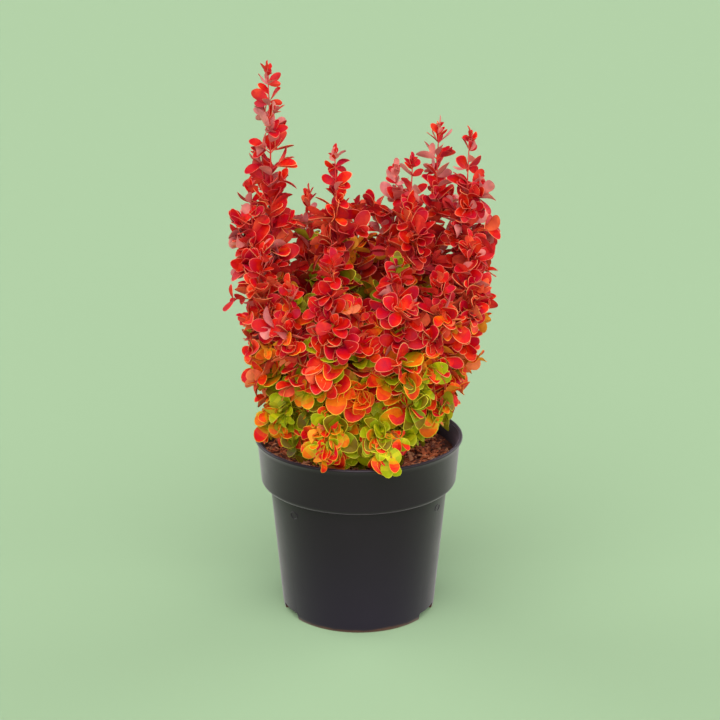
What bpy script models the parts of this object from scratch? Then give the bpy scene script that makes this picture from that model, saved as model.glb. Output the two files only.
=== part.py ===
"""Japanese barberry, a small upright garden shrub, in its round plastic nursery pot.

A short woody crown stands on the filled pot. Stems fan out from it, and each ends where it
enters one or two masses of foliage. Low sprays grow from the crown's flank, and those in
front hang over the rim. Every mass keeps to its own space: the points that are nearer to
its own stem than to another mass's stem, and clear of the limbs, the pot and the soil.

Metres, +Z up. The origin is on the pot's axis at the middle of its flat underside, and the
side towards -Y is the front.
"""
import math
import random
from collections import namedtuple

import bmesh
import bpy
import numpy as np
from mathutils import Matrix, Vector
from mathutils.bvhtree import BVHTree

# Clearance between neighbouring pieces
GAP = 0.0003

# Pot, a thin shell with a rolled rim, a deep collar and a tapering body
POT_HEIGHT = 0.167
RIM_RADIUS = 0.095
BEAD_RADIUS = 0.0016
WALL = 0.002
FLOOR = 0.0035
COLLAR_TOP = (0.0923, 0.1600)
COLLAR_FOOT = (0.0896, 0.1270)
SHOULDER_RADIUS = 0.005
STEP = (0.0824, 0.1216)
BODY_TOP = (0.0814, 0.1206)
BODY_FOOT = (0.0709, 0.0050)
FOOT_CORNER = (0.0702, 0.0010)
FOOT_RADIUS = 0.0694
TURNED_STEPS = 40

# Drain notches through the pot's lower edge, at these angles from the front
NOTCH_ANGLES = (63.5, 116.5, -116.5, -63.5)
NOTCH_WIDTH = 0.028
NOTCH_DEPTH = 0.009
NOTCH_HEIGHT = 0.0062

# Soil, level round the trunk and a little lower at the pot's wall
SOIL_TOP = 0.150
SOIL_FALL = 0.0015
SOIL_LEVEL_RADIUS = 0.024

# Trunk, a short root crown: radius at each height above the soil, and its lean
TRUNK_FORM = ((0.0, 0.0170), (0.003, 0.0142), (0.008, 0.0128), (0.014, 0.0124),
              (0.018, 0.0106), (0.020, 0.0078))
TRUNK_LEAN = (0.0014, -0.0008)
TRUNK_SIDES = 12
HEART_HEIGHT = 0.008

# Stems: steep ones leave the crown's top, wide ones its shoulder, low sprays its flank
STEM_FOOT_RADIUS = 0.0024
STEM_TIP_RADIUS = 0.0019
STEM_POINTS = 5
STEM_SIDES = 6
STEEP = 28.0
SLANTED = 40.0
WIDE = 60.0
SPLIT_SHARE = 0.58
FORK_OFFSET = 0.0018
STEM_LEAVE = 0.40
STEM_ARRIVE = 0.25
LOW_BEARINGS = (216, 253, 286, 330, 13, 60, 111, 165)
LOW_START = 0.006
LOW_HEIGHT = 0.0045
LOW_LEAVE = 0.026
LOW_ARCH = 0.214
LOW_REACH = 0.080
LOW_FRONT_REACH = 0.014
LOW_FRONT = 0.187
LOW_SIDE_RISE = 0.048
LOW_BACK_RISE = 0.010
LOW_LEAVE_SHARE = 0.40
LOW_ARCH_SHARE = 0.75

# Stems inside the masses and their side twigs
AXIS_FOOT_RADIUS = 0.0016
AXIS_TIP_RADIUS = 0.0008
AXIS_POINTS = 5
AXIS_SIDES = 4
AXIS_LEAN = 0.04
AXIS_LEAVE = 0.34
AXIS_ARRIVE = 0.45
TWIG_FOOT_RADIUS = 0.0010
TWIG_TIP_RADIUS = 0.0007
TWIG_SIDES = 3

# Leaves, larger than life because each stands for a small cluster
LEAF_LENGTH = 0.034
LEAF_WIDTH_SHARE = 0.60
LEAF_THICKNESS_SHARE = 0.05
LEAF_SIDES = 5
LEAF_MIDDLE = 0.55
LEAF_SUNK = 0.0003
LEAF_TRIES = (1.0, 0.8, 0.62)
BLADE_SHARE = 0.9

# Growth rule: steps between nodes, angles and how far they wander, and the room kept free
GOLDEN_TURN = 137.5
FOOT_CLEAR = 0.012
FIRST_NODE = 0.006
UPPER_STEP = 0.0150
LOWER_STEP = 0.0135
FULL_LEAF_AT = 0.070
LEAF_SPREAD = 54.0
LEAF_WANDER = 9.0
PAIR_WANDER = 14.0
TWIG_SPREAD = 60.0
TWIG_WANDER = 10.0
TWIG_TURN = (10.0, 80.0)
TWIG_SIZE = (0.32, 0.52)
TWIG_TESTED = (0.3, 0.65, 1.0)
TWIG_LEAVES = (0.85, 0.6)
TWIG_LEAF_TURN = (50.0, 130.0)
OUTWARD_FACE = 0.7
FACE_WANDER = 0.5
SPACE_MARGIN = 0.0007
LIMB_CLEAR = 0.0012
RIM_CLEAR = 0.0015

# How far the crown reaches at each height, from a middle a little right of the pot's axis
CROWN_MIDDLE = 0.004
CROWN = ((0.150, 0.112), (0.190, 0.111), (0.218, 0.105), (0.246, 0.108), (0.275, 0.112),
         (0.300, 0.117), (0.350, 0.124), (0.400, 0.117), (0.510, 0.112))

# One shoot is one mass: the bearing of its tip, its reach from the pot's axis and its
# height; the bare spire above the crown; the reach of its side twigs; its topmost leaves
Shoot = namedtuple("Shoot", "name bearing reach height spire girth tip_leaf")
Stem = namedtuple("Stem", "name polar bearing split_height shoots")

STEMS = (
    Stem("tall_left", STEEP, 160, 0.212, (
        Shoot("tall_left", 173, 0.079, 0.490, 0.100, 0.034, 0.018),)),
    Stem("inner_left", STEEP, 218, 0.214, (
        Shoot("inner_left", 207, 0.023, 0.421, 0.062, 0.034, 0.017),)),
    Stem("inner_right", STEEP, 322, 0.214, (
        Shoot("inner_right", -15, 0.048, 0.414, 0.055, 0.034, 0.017),)),
    Stem("tall_right", STEEP, 30, 0.214, (
        Shoot("tall_right", 20, 0.075, 0.436, 0.055, 0.036, 0.020),)),
    Stem("middle", STEEP, 95, 0.206, (
        Shoot("middle", 92, 0.042, 0.358, 0.020, 0.036, 0.024),)),
    Stem("front", SLANTED, 270, 0.186, (
        Shoot("front_middle", 270, 0.068, 0.292, 0.020, 0.034, 0.024),)),
    Stem("outer_left", WIDE, 192, 0.190, (
        Shoot("outer_left", 189, 0.095, 0.391, 0.034, 0.032, 0.020),
        Shoot("side_left", 205, 0.092, 0.336, 0.024, 0.032, 0.022))),
    Stem("front_left", WIDE, 236, 0.188, (
        Shoot("shoulder_left", 226, 0.086, 0.312, 0.020, 0.034, 0.024),
        Shoot("front_left", 254, 0.078, 0.338, 0.022, 0.036, 0.024))),
    Stem("front_right", WIDE, 305, 0.188, (
        Shoot("front_right", -66, 0.080, 0.334, 0.022, 0.036, 0.024),
        Shoot("shoulder_right", -39, 0.088, 0.318, 0.020, 0.034, 0.024))),
    Stem("outer_right", WIDE, 352, 0.190, (
        Shoot("outer_right", 0, 0.096, 0.434, 0.050, 0.034, 0.018),
        Shoot("side_right", -17, 0.100, 0.345, 0.024, 0.032, 0.022))),
    Stem("back_right", WIDE, 35, 0.190, (
        Shoot("far_right", 15, 0.106, 0.364, 0.030, 0.032, 0.020),
        Shoot("shoulder_back_right", 43, 0.092, 0.322, 0.022, 0.034, 0.024))),
    Stem("back", WIDE, 84, 0.190, (
        Shoot("back_right", 64, 0.078, 0.390, 0.036, 0.034, 0.020),
        Shoot("back_middle", 96, 0.084, 0.318, 0.022, 0.036, 0.024))),
    Stem("back_left", WIDE, 138, 0.190, (
        Shoot("back_left", 126, 0.076, 0.368, 0.036, 0.034, 0.020),
        Shoot("shoulder_back_left", 155, 0.088, 0.334, 0.024, 0.034, 0.022))),
)


def clear_scene():
    """Remove every object of the open file."""
    for item in list(bpy.data.objects):
        bpy.data.objects.remove(item, do_unlink=True)


def make_collection(name):
    """Add a collection to the scene."""
    collection = bpy.data.collections.new(name)
    bpy.context.scene.collection.children.link(collection)
    return collection


def make_material(name, colour, roughness):
    """Plain material with the part's colour."""
    material = bpy.data.materials.new(name)
    material.use_nodes = True
    shader = material.node_tree.nodes["Principled BSDF"]
    shader.inputs["Base Color"].default_value = (*colour, 1.0)
    shader.inputs["Roughness"].default_value = roughness
    shader.inputs["Metallic"].default_value = 0.0
    return material


def add_object(name, mesh, collection, material=None):
    """Put a mesh in the scene as a named object."""
    item = bpy.data.objects.new(name, mesh)
    collection.objects.link(item)
    if material is not None:
        mesh.materials.append(material)
    return item


def evaluated_mesh(item):
    """The mesh of an object with its modifiers applied."""
    bpy.context.view_layer.update()
    graph = bpy.context.evaluated_depsgraph_get()
    return bpy.data.meshes.new_from_object(item.evaluated_get(graph))


def shade(mesh, angle=40.0):
    """Smooth shading with sharp edges kept."""
    mesh.shade_smooth()
    mesh.set_sharp_from_angle(angle=math.radians(angle))


def arc(centre, radius, start, end, steps):
    """Profile points along an arc, with its angles in degrees."""
    angles = [math.radians(start + (end - start) * k / steps) for k in range(steps + 1)]
    return [(centre[0] + radius * math.cos(a), centre[1] + radius * math.sin(a)) for a in angles]


def turned(name, profile, collection, material):
    """Solid of revolution from a profile of radius and height pairs."""
    mesh = bpy.data.meshes.new(name)
    count = len(profile)
    edges = [(k, k + 1) for k in range(count - 1)]
    mesh.from_pydata([(radius, 0.0, height) for radius, height in profile], edges, [])
    item = add_object(name, mesh, collection)
    screw = item.modifiers.new("turn", "SCREW")
    screw.steps = TURNED_STEPS
    screw.render_steps = TURNED_STEPS
    screw.use_merge_vertices = True
    screw.merge_threshold = 0.00001
    item.data = evaluated_mesh(item)
    item.modifiers.clear()
    item.data.materials.append(material)
    shade(item.data)
    return item


def inner_wall():
    """Profile of the pot's inner wall, from its floor up to the rim's underside."""
    slope = (BODY_TOP[0] - BODY_FOOT[0]) / (BODY_TOP[1] - BODY_FOOT[1])
    floor_edge = BODY_FOOT[0] - WALL
    ledge = (COLLAR_FOOT[0] - SHOULDER_RADIUS, COLLAR_FOOT[1])
    shoulder = arc(ledge, SHOULDER_RADIUS - WALL, -90.0, 0.0, 2)
    wall = [(floor_edge - WALL / 2.0, FLOOR), (floor_edge, FLOOR + WALL / 2.0)]
    wall.append((BODY_TOP[0] - WALL - slope * GAP, BODY_TOP[1]))
    wall.append((STEP[0] - WALL / 2.0, STEP[1] + WALL))
    wall.extend(shoulder)
    wall.append((COLLAR_TOP[0] - WALL, COLLAR_TOP[1] - WALL / 2.0))
    return wall


def outer_wall():
    """Profile of the pot's rim and outer wall, from the rim's inner side down."""
    bead = (RIM_RADIUS - BEAD_RADIUS, POT_HEIGHT - BEAD_RADIUS)
    ledge = (COLLAR_FOOT[0] - SHOULDER_RADIUS, COLLAR_FOOT[1])
    wall = arc(bead, BEAD_RADIUS, 225.0, -45.0, 6)
    wall.append(COLLAR_TOP)
    wall.extend(arc(ledge, SHOULDER_RADIUS, 0.0, -90.0, 3))
    wall.extend([STEP, BODY_TOP, BODY_FOOT, FOOT_CORNER, (FOOT_RADIUS, 0.0)])
    return wall


def make_pot(collection, cutters, material):
    """Turned shell with drain notches cut through its lower edge."""
    profile = [(0.0, FLOOR)] + inner_wall() + outer_wall() + [(0.0, 0.0)]
    pot = turned("pot", profile, collection, material)
    for angle in NOTCH_ANGLES:
        heading = math.radians(angle - 90.0)
        size = Matrix.Diagonal((2.0 * NOTCH_DEPTH, NOTCH_WIDTH, 2.0 * NOTCH_HEIGHT, 1.0))
        place = Matrix.Rotation(heading, 4, "Z") @ Matrix.Translation((BODY_FOOT[0], 0.0, 0.0))
        shape = bmesh.new()
        bmesh.ops.create_cube(shape, size=1.0, matrix=place @ size)
        mesh = bpy.data.meshes.new("notch")
        shape.to_mesh(mesh)
        shape.free()
        cutter = add_object("notch", mesh, cutters)
        cutter.hide_render = True
        cutter.display_type = "WIRE"
    cut = pot.modifiers.new("drain_notches", "BOOLEAN")
    cut.operation = "DIFFERENCE"
    cut.operand_type = "COLLECTION"
    cut.collection = cutters
    cut.solver = "EXACT"


def make_soil(collection, material):
    """Soil that fills the pot to just under its rim."""
    wall = inner_wall()
    foot = wall[-2]
    top = wall[-1]
    share = (SOIL_TOP - SOIL_FALL - foot[1]) / (top[1] - foot[1])
    edge = foot[0] + (top[0] - foot[0]) * share
    corners = [(edge, SOIL_TOP - SOIL_FALL), foot, wall[3], wall[2], wall[1], wall[0]]
    sides = [(radius - 1.5 * GAP, height + GAP) for radius, height in corners[1:]]
    profile = [(0.0, SOIL_TOP), (SOIL_LEVEL_RADIUS, SOIL_TOP)]
    profile += [(edge - 1.5 * GAP, SOIL_TOP - SOIL_FALL)] + sides + [(0.0, FLOOR + GAP)]
    return turned("soil", profile, collection, material)


def tube_mesh(points, radii, sides):
    """Closed mesh of a tapering tube along a run of points."""
    curve = bpy.data.curves.new("tube", "CURVE")
    curve.dimensions = "3D"
    curve.bevel_depth = 1.0
    curve.bevel_resolution = (sides - 4) // 2
    curve.use_fill_caps = True
    spline = curve.splines.new("POLY")
    spline.points.add(len(points) - 1)
    for knot, point, radius in zip(spline.points, points, radii):
        knot.co = (*point, 1.0)
        knot.radius = radius
    item = bpy.data.objects.new("tube", curve)
    bpy.context.scene.collection.objects.link(item)
    mesh = evaluated_mesh(item)
    bpy.data.objects.remove(item, do_unlink=True)
    bpy.data.curves.remove(curve)
    shape = bmesh.new()
    shape.from_mesh(mesh)
    bmesh.ops.remove_doubles(shape, verts=shape.verts, dist=0.000005)
    bmesh.ops.recalc_face_normals(shape, faces=shape.faces)
    shape.to_mesh(mesh)
    shape.free()
    return mesh


def trunk_mesh(swell):
    """The root crown, grown by a clearance where it serves as a cutter."""
    points = []
    radii = []
    flare = TRUNK_FORM[1][0]
    top = TRUNK_FORM[-1][0]
    for height, radius in TRUNK_FORM:
        share = max(0.0, (height - flare) / (top - flare))
        points.append(Vector((TRUNK_LEAN[0] * share, TRUNK_LEAN[1] * share,
                              SOIL_TOP + GAP + height)))
        radii.append(radius + swell)
    points[0].z -= swell
    points[-1].z += swell
    return tube_mesh(points, radii, TRUNK_SIDES)


def bend(first, leave, arrive, last, count):
    """Points of a smooth curve that leaves one end and arrives at the other as given."""
    points = []
    for k in range(count):
        t = k / (count - 1)
        points.append(first * (1 - t) ** 3 + leave * 3 * t * (1 - t) ** 2
                      + arrive * 3 * t ** 2 * (1 - t) + last * t ** 3)
    return points


def taper(first, last, count):
    """Evenly falling radii."""
    return [first + (last - first) * k / (count - 1) for k in range(count)]


def polar_place(bearing, reach, height):
    """Point at a reach and height on a bearing in degrees from +X."""
    angle = math.radians(bearing)
    return Vector((reach * math.cos(angle), reach * math.sin(angle), height))


def shoot_tip(shoot):
    """Where a shoot ends."""
    return polar_place(shoot.bearing, shoot.reach, shoot.height)


def stem_route(stem):
    """Points of one limb, from the heart of the root crown to its split."""
    heart = Vector((0.0, 0.0, SOIL_TOP + HEART_HEIGHT))
    tips = [shoot_tip(shoot) for shoot in stem.shoots]
    middle = sum(tips, Vector()) / len(tips)
    split = Vector((middle.x * SPLIT_SHARE, middle.y * SPLIT_SHARE, stem.split_height))
    slant = math.radians(stem.polar)
    heading = polar_place(stem.bearing, math.sin(slant), math.cos(slant))
    span = (split - heart).length
    aim = (middle - split).normalized()
    return bend(heart, heart + heading * span * STEM_LEAVE, split - aim * span * STEM_ARRIVE,
                split, STEM_POINTS)


def axis_routes(stem, route):
    """Points of the stems inside the masses that one limb carries."""
    heading = (route[-1] - route[-2]).normalized()
    tips = [shoot_tip(shoot) for shoot in stem.shoots]
    routes = []
    for k, tip in enumerate(tips):
        foot = route[-1] + heading * GAP
        if len(tips) == 2:
            away = tip - tips[1 - k]
            away -= heading * away.dot(heading)
            foot += away.normalized() * FORK_OFFSET
        span = (tip - foot).length
        upright = Vector((tip.x, tip.y, 0.0)).normalized() * AXIS_LEAN + Vector((0.0, 0.0, 1.0))
        routes.append(bend(foot, foot + heading * span * AXIS_LEAVE,
                           tip - upright * span * AXIS_ARRIVE, tip, AXIS_POINTS))
    return routes


def low_sprays():
    """Low shoots all round: they hang over the rim in front and rise at the sides."""
    sprays = []
    for k, bearing in enumerate(LOW_BEARINGS):
        side = math.cos(math.radians(bearing)) ** 4
        back = math.sin(math.radians(bearing))
        height = LOW_FRONT + LOW_SIDE_RISE * side + LOW_BACK_RISE * max(0.0, back)
        reach = LOW_REACH + LOW_FRONT_REACH * max(0.0, -back) ** 2
        sprays.append(Shoot("low_%02d" % (k + 1), bearing, reach, height, 0.0, 0.034, 0.028))
    return sprays


def low_route(shoot):
    """Points of a low spray's stem, from the crown's flank outwards and over."""
    tip = shoot_tip(shoot)
    start = polar_place(shoot.bearing, LOW_START, SOIL_TOP + LOW_HEIGHT)
    leave = polar_place(shoot.bearing, shoot.reach * LOW_LEAVE_SHARE, SOIL_TOP + LOW_LEAVE)
    arch = tip.z + (LOW_ARCH - tip.z) * LOW_ARCH_SHARE
    arrive = polar_place(shoot.bearing, shoot.reach * LOW_ARCH_SHARE, arch)
    return bend(start, leave, arrive, tip, AXIS_POINTS)


def segment_distances(points, starts, ends):
    """Distance of each point to each segment, as a table."""
    run = ends - starts
    offset = points[:, None, :] - starts[None, :, :]
    share = np.clip((offset * run).sum(2) / np.maximum((run * run).sum(1), 1e-12), 0.0, 1.0)
    return np.linalg.norm(offset - share[:, :, None] * run, axis=2)


class Space:
    """The room that each mass has, between the other masses, the limbs and the pot."""

    def __init__(self, axes, limbs):
        """Keep the stems' runs as segments, with the mass or limb that each belongs to."""
        self.starts = np.array([p for axis in axes for p in axis[:-1]])
        self.ends = np.array([p for axis in axes for p in axis[1:]])
        self.owners = np.repeat(np.arange(len(axes)), [len(axis) - 1 for axis in axes])
        self.limb_starts = np.array([p for limb in limbs for p in limb[:-1]])
        self.limb_ends = np.array([p for limb in limbs for p in limb[1:]])
        self.wall = inner_wall()

    def in_crown(self, points):
        """True where no point lies outside the crown's outline."""
        reach = np.hypot(points[:, 0] - CROWN_MIDDLE, points[:, 1])
        room = np.interp(points[:, 2], [c[0] for c in CROWN], [c[1] for c in CROWN])
        return not np.any(reach > room)

    def clear_of_pot(self, points, clearance):
        """True where no point comes near the pot, the soil or the trunk."""
        reach = np.hypot(points[:, 0], points[:, 1])
        height = points[:, 2]
        if np.any((height < SOIL_TOP + clearance) & (reach < RIM_RADIUS)):
            return False
        inner = np.interp(height, [w[1] for w in self.wall], [w[0] for w in self.wall])
        inner = np.minimum(inner, RIM_RADIUS - 2.0 * BEAD_RADIUS)
        beside = height < POT_HEIGHT + RIM_CLEAR
        inside = reach < inner - RIM_CLEAR - clearance
        outside = reach > RIM_RADIUS + RIM_CLEAR + clearance
        if np.any(beside & ~inside & ~outside):
            return False
        low = height < SOIL_TOP + TRUNK_FORM[-1][0] + 2.0 * clearance
        return not np.any(low & (reach < TRUNK_FORM[0][1] + clearance))

    def holds(self, owner, points, clearance):
        """True where all points keep to a mass's own space by a clearance."""
        points = np.array(points)
        table = segment_distances(points, self.starts, self.ends)
        own = table[:, self.owners == owner].min(1)
        other = table[:, self.owners != owner].min(1)
        if np.any(own + 2.0 * (SPACE_MARGIN + clearance) > other):
            return False
        limbs = segment_distances(points, self.limb_starts, self.limb_ends)
        if limbs.min() < STEM_FOOT_RADIUS + LIMB_CLEAR + clearance:
            return False
        return self.in_crown(points) and self.clear_of_pot(points, clearance)


def outward(point):
    """The level direction away from the pot's axis."""
    level = Vector((point.x, point.y, 0.0))
    return level.normalized() if level.length > 0.001 else Vector((0.0, -1.0, 0.0))


def square_to(direction, guide):
    """The part of a guide at right angles to a direction, at unit length."""
    side = guide - direction * guide.dot(direction)
    if side.length < 0.05:
        side = direction.orthogonal()
    return side.normalized()


def along(route, distance):
    """Point and heading at a distance along a run of points."""
    for first, last in zip(route, route[1:]):
        span = (last - first).length
        if distance < span:
            break
        distance -= span
    else:
        distance = span
    heading = (last - first).normalized()
    return first + heading * distance, heading


def leaf_outline(base, heading, face, length):
    """Corners of a leaf: a narrow foot, the widest place past its middle, and a blunt tip.

    The last two points are the middle of its upper and its lower side.
    """
    side = face.cross(heading).normalized()
    width = length * LEAF_WIDTH_SHARE
    corners = []
    for k in range(LEAF_SIDES):
        angle = 2.0 * math.pi * k / LEAF_SIDES
        run = length * math.sqrt((1.0 - math.cos(angle)) / 2.0)
        corners.append(base + heading * run + side * (width / 2.0) * math.sin(angle))
    middle = base + heading * length * LEAF_MIDDLE
    thick = face * length * LEAF_THICKNESS_SHARE / 2.0
    return corners + [middle + thick, middle - thick]


def blade_tree(outline, middle):
    """Search tree of a leaf's blade without its foot, to tell where leaves would cross."""
    corners = [middle + (corner - middle) * BLADE_SHARE for corner in outline[:LEAF_SIDES]]
    return BVHTree.FromPolygons(corners, [tuple(range(LEAF_SIDES))])


def leaf_mesh(outline):
    """A thin closed leaf on its outline, from a sphere of few faces."""
    shape = bmesh.new()
    bmesh.ops.create_uvsphere(shape, u_segments=LEAF_SIDES, v_segments=2, radius=1.0)
    for vert in shape.verts:
        if abs(vert.co.z) > 0.5:
            vert.co = outline[-2] if vert.co.z > 0 else outline[-1]
        else:
            turn = math.atan2(vert.co.y, vert.co.x) / (2.0 * math.pi) * LEAF_SIDES
            vert.co = outline[round(turn) % LEAF_SIDES]
    bmesh.ops.recalc_face_normals(shape, faces=shape.faces)
    mesh = bpy.data.meshes.new("leaf")
    shape.to_mesh(mesh)
    shape.free()
    return mesh


def twig_mesh(first, last):
    """A straight three-sided twig that thins towards its tip."""
    run = last - first
    turn = run.to_track_quat("Z", "Y").to_matrix().to_4x4()
    place = Matrix.Translation((first + last) / 2.0) @ turn
    shape = bmesh.new()
    bmesh.ops.create_cone(shape, cap_ends=True, segments=TWIG_SIDES, radius1=TWIG_FOOT_RADIUS,
                          radius2=TWIG_TIP_RADIUS, depth=run.length, matrix=place)
    mesh = bpy.data.meshes.new("twig")
    shape.to_mesh(mesh)
    shape.free()
    return mesh


class Growth:
    """Twigs and leaves of one mass, by a rule with its own seed."""

    def __init__(self, shoot, number, axis, space):
        """Start with an empty list of pieces."""
        self.shoot = shoot
        self.number = number
        self.axis = axis
        self.space = space
        self.random = random.Random(number + 1)
        self.twigs = []
        self.leaves = []
        self.trees = []

    def leaf_length(self, from_tip):
        """Leaves grow longer away from the shoot's tip."""
        share = min(1.0, from_tip / FULL_LEAF_AT)
        return self.shoot.tip_leaf + (LEAF_LENGTH - self.shoot.tip_leaf) * share

    def add_leaf(self, point, heading, stem_heading, length):
        """Add a leaf that faces up and outward, at the largest size that has room."""
        wander = Vector([self.random.uniform(-1.0, 1.0) for _ in range(3)])
        guide = stem_heading * (1.0 - OUTWARD_FACE) + outward(point) * OUTWARD_FACE
        face = square_to(heading, guide + wander * FACE_WANDER)
        for size in LEAF_TRIES:
            outline = leaf_outline(point - heading * LEAF_SUNK, heading, face, length * size)
            middle = (outline[-1] + outline[-2]) / 2.0
            between = [(corner + middle) / 2.0 for corner in outline[1:LEAF_SIDES]]
            tree = blade_tree(outline, middle)
            if any(tree.overlap(other) for other in self.trees):
                continue
            if self.space.holds(self.number, outline[1:] + between, 0.0):
                self.leaves.append(outline)
                self.trees.append(tree)
                return True
        return False

    def spread_heading(self, point, heading, turn, spread):
        """A heading that leaves a stem at an angle, at a turn from its outward side."""
        side = Matrix.Rotation(math.radians(turn), 3, heading) @ square_to(heading, outward(point))
        angle = math.radians(spread)
        return (heading * math.cos(angle) + side * math.sin(angle)).normalized()

    def add_whorl(self, distance, turn, length):
        """Add a pair of leaves at one node of the stem."""
        point, heading = along(self.axis, distance)
        for k in range(2):
            spread = LEAF_SPREAD + self.random.uniform(-LEAF_WANDER, LEAF_WANDER)
            around = turn + 180.0 * k + self.random.uniform(-PAIR_WANDER, PAIR_WANDER)
            self.add_leaf(point, self.spread_heading(point, heading, around, spread), heading,
                          length)

    def add_twig(self, distance, turn, length):
        """Add a side twig with a leaf at its tip and a pair at its sides."""
        point, heading = along(self.axis, distance)
        spread = TWIG_SPREAD + self.random.uniform(-TWIG_WANDER, TWIG_WANDER)
        aim = self.spread_heading(point, heading, turn, spread)
        size = self.shoot.girth * self.random.uniform(*TWIG_SIZE)
        around = self.random.uniform(*TWIG_LEAF_TURN)
        tip = point + aim * size
        steps = [point + (tip - point) * share for share in TWIG_TESTED]
        if not self.space.holds(self.number, steps, TWIG_FOOT_RADIUS):
            return False
        if not self.add_leaf(tip, aim, heading, length):
            return False
        self.twigs.append((point, tip))
        for k, share in enumerate(TWIG_LEAVES):
            off = self.spread_heading(point, aim, around + 180.0 * k, LEAF_SPREAD)
            self.add_leaf(point + (tip - point) * share, off, aim, length)
        return True

    def grow(self):
        """Walk down the stem from its tip and add what grows at each node."""
        total = sum((b - a).length for a, b in zip(self.axis, self.axis[1:]))
        tip, heading = along(self.axis, total)
        self.add_leaf(tip, heading, heading, self.leaf_length(0.0))
        turn = self.random.uniform(0.0, 360.0)
        side = 1.0
        from_tip = FIRST_NODE
        while total - from_tip > FOOT_CLEAR:
            turn += GOLDEN_TURN
            length = self.leaf_length(from_tip)
            if from_tip < self.shoot.spire:
                self.add_whorl(total - from_tip, turn, length)
                from_tip += UPPER_STEP
                continue
            side = -side
            twig_turn = side * self.random.uniform(*TWIG_TURN)
            if not self.add_twig(total - from_tip, twig_turn, length):
                self.add_whorl(total - from_tip, turn, length)
            from_tip += LOWER_STEP


def keep_body(mesh):
    """Drop loose scraps and the shells of hollows that fusing sealed."""
    shape = bmesh.new()
    shape.from_mesh(mesh)
    shape.verts.ensure_lookup_table()
    seen = set()
    groups = []
    for vert in shape.verts:
        if vert in seen:
            continue
        group = [vert]
        seen.add(vert)
        for reached in group:
            for edge in reached.link_edges:
                other = edge.other_vert(reached)
                if other not in seen:
                    seen.add(other)
                    group.append(other)
        groups.append(group)
    groups.sort(key=len)
    for group in groups[:-1]:
        bmesh.ops.delete(shape, geom=group, context="VERTS")
    shape.to_mesh(mesh)
    shape.free()
    return mesh


def fuse(name, base, pieces, collection, material):
    """One solid from a stem and the twigs and leaves sunk in it."""
    item = add_object(name, base, collection)
    group = make_collection(name + "_pieces")
    for number, mesh in enumerate(pieces):
        add_object("%s_%d" % (name, number), mesh, group)
    union = item.modifiers.new("join", "BOOLEAN")
    union.operation = "UNION"
    union.operand_type = "COLLECTION"
    union.collection = group
    union.solver = "EXACT"
    item.data = keep_body(evaluated_mesh(item))
    item.modifiers.clear()
    for piece in list(group.objects):
        bpy.data.objects.remove(piece, do_unlink=True)
    bpy.data.collections.remove(group)
    item.data.materials.append(material)
    return item


def cut_by_trunk(item, swollen):
    """Cut a limb's foot off a clearance outside the trunk."""
    cut = item.modifiers.new("seat", "BOOLEAN")
    cut.operation = "DIFFERENCE"
    cut.object = swollen
    cut.solver = "EXACT"
    mesh = keep_body(evaluated_mesh(item))
    materials = list(item.data.materials)
    item.modifiers.clear()
    item.data = mesh
    if not mesh.materials:
        for material in materials:
            mesh.materials.append(material)


def main():
    """Build the pot, the soil, the trunk, the stems and the masses of foliage."""
    clear_scene()
    parts = make_collection("japanese_barberry")
    cutters = make_collection("cutters")
    plastic = make_material("pot_plastic", (0.020, 0.021, 0.025), 0.45)
    earth = make_material("bark_mulch", (0.070, 0.026, 0.016), 0.95)
    bark = make_material("bark", (0.120, 0.062, 0.038), 0.85)
    red = make_material("red_foliage", (0.62, 0.020, 0.014), 0.50)
    amber = make_material("amber_foliage", (0.72, 0.170, 0.015), 0.50)

    make_pot(parts, cutters, plastic)
    make_soil(parts, earth)
    trunk = add_object("trunk", trunk_mesh(0.0), parts, bark)
    shade(trunk.data)
    guides = make_collection("guides")
    swollen = add_object("trunk_clearance", trunk_mesh(GAP), guides)
    swollen.hide_render = True
    swollen.display_type = "WIRE"

    limbs = [stem_route(stem) for stem in STEMS]
    shoots = []
    axes = []
    for stem, route in zip(STEMS, limbs):
        shoots.extend(stem.shoots)
        axes.extend(axis_routes(stem, route))
        radii = taper(STEM_FOOT_RADIUS, STEM_TIP_RADIUS, STEM_POINTS)
        item = add_object("stem_" + stem.name, tube_mesh(route, radii, STEM_SIDES), parts, bark)
        cut_by_trunk(item, swollen)
        shade(item.data)
    for shoot in low_sprays():
        shoots.append(shoot)
        axes.append(low_route(shoot))

    space = Space(axes, limbs)
    for number, (shoot, axis) in enumerate(zip(shoots, axes)):
        growth = Growth(shoot, number, axis, space)
        growth.grow()
        radii = taper(AXIS_FOOT_RADIUS, AXIS_TIP_RADIUS, AXIS_POINTS)
        pieces = [twig_mesh(*twig) for twig in growth.twigs]
        pieces += [leaf_mesh(outline) for outline in growth.leaves]
        low = number >= len(shoots) - len(LOW_BEARINGS)
        item = fuse("foliage_" + shoot.name, tube_mesh(axis, radii, AXIS_SIDES), pieces, parts,
                    amber if low else red)
        if low:
            cut_by_trunk(item, swollen)


main()
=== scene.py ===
"""Looks of a potted japanese barberry: pot, bark mulch, woody limbs, shoots and autumn leaves.

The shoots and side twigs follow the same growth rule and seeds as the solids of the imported
model. Where a solid leaf stands for a cluster, a short spur grows here with leaves of life
size round it, and finer leaves fill the nodes between. Metres, +Z up, the front towards -Y.
"""
from __future__ import annotations

import logging
import math
import random
from collections.abc import Iterable, Sequence
from dataclasses import dataclass, field
from enum import Enum

import bmesh
import bpy
import numpy as np
from bpy.types import Material, Node, NodeSocket, NodeTree, Object
from mathutils import Matrix, Vector, noise
from mathutils.bvhtree import BVHTree

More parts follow.
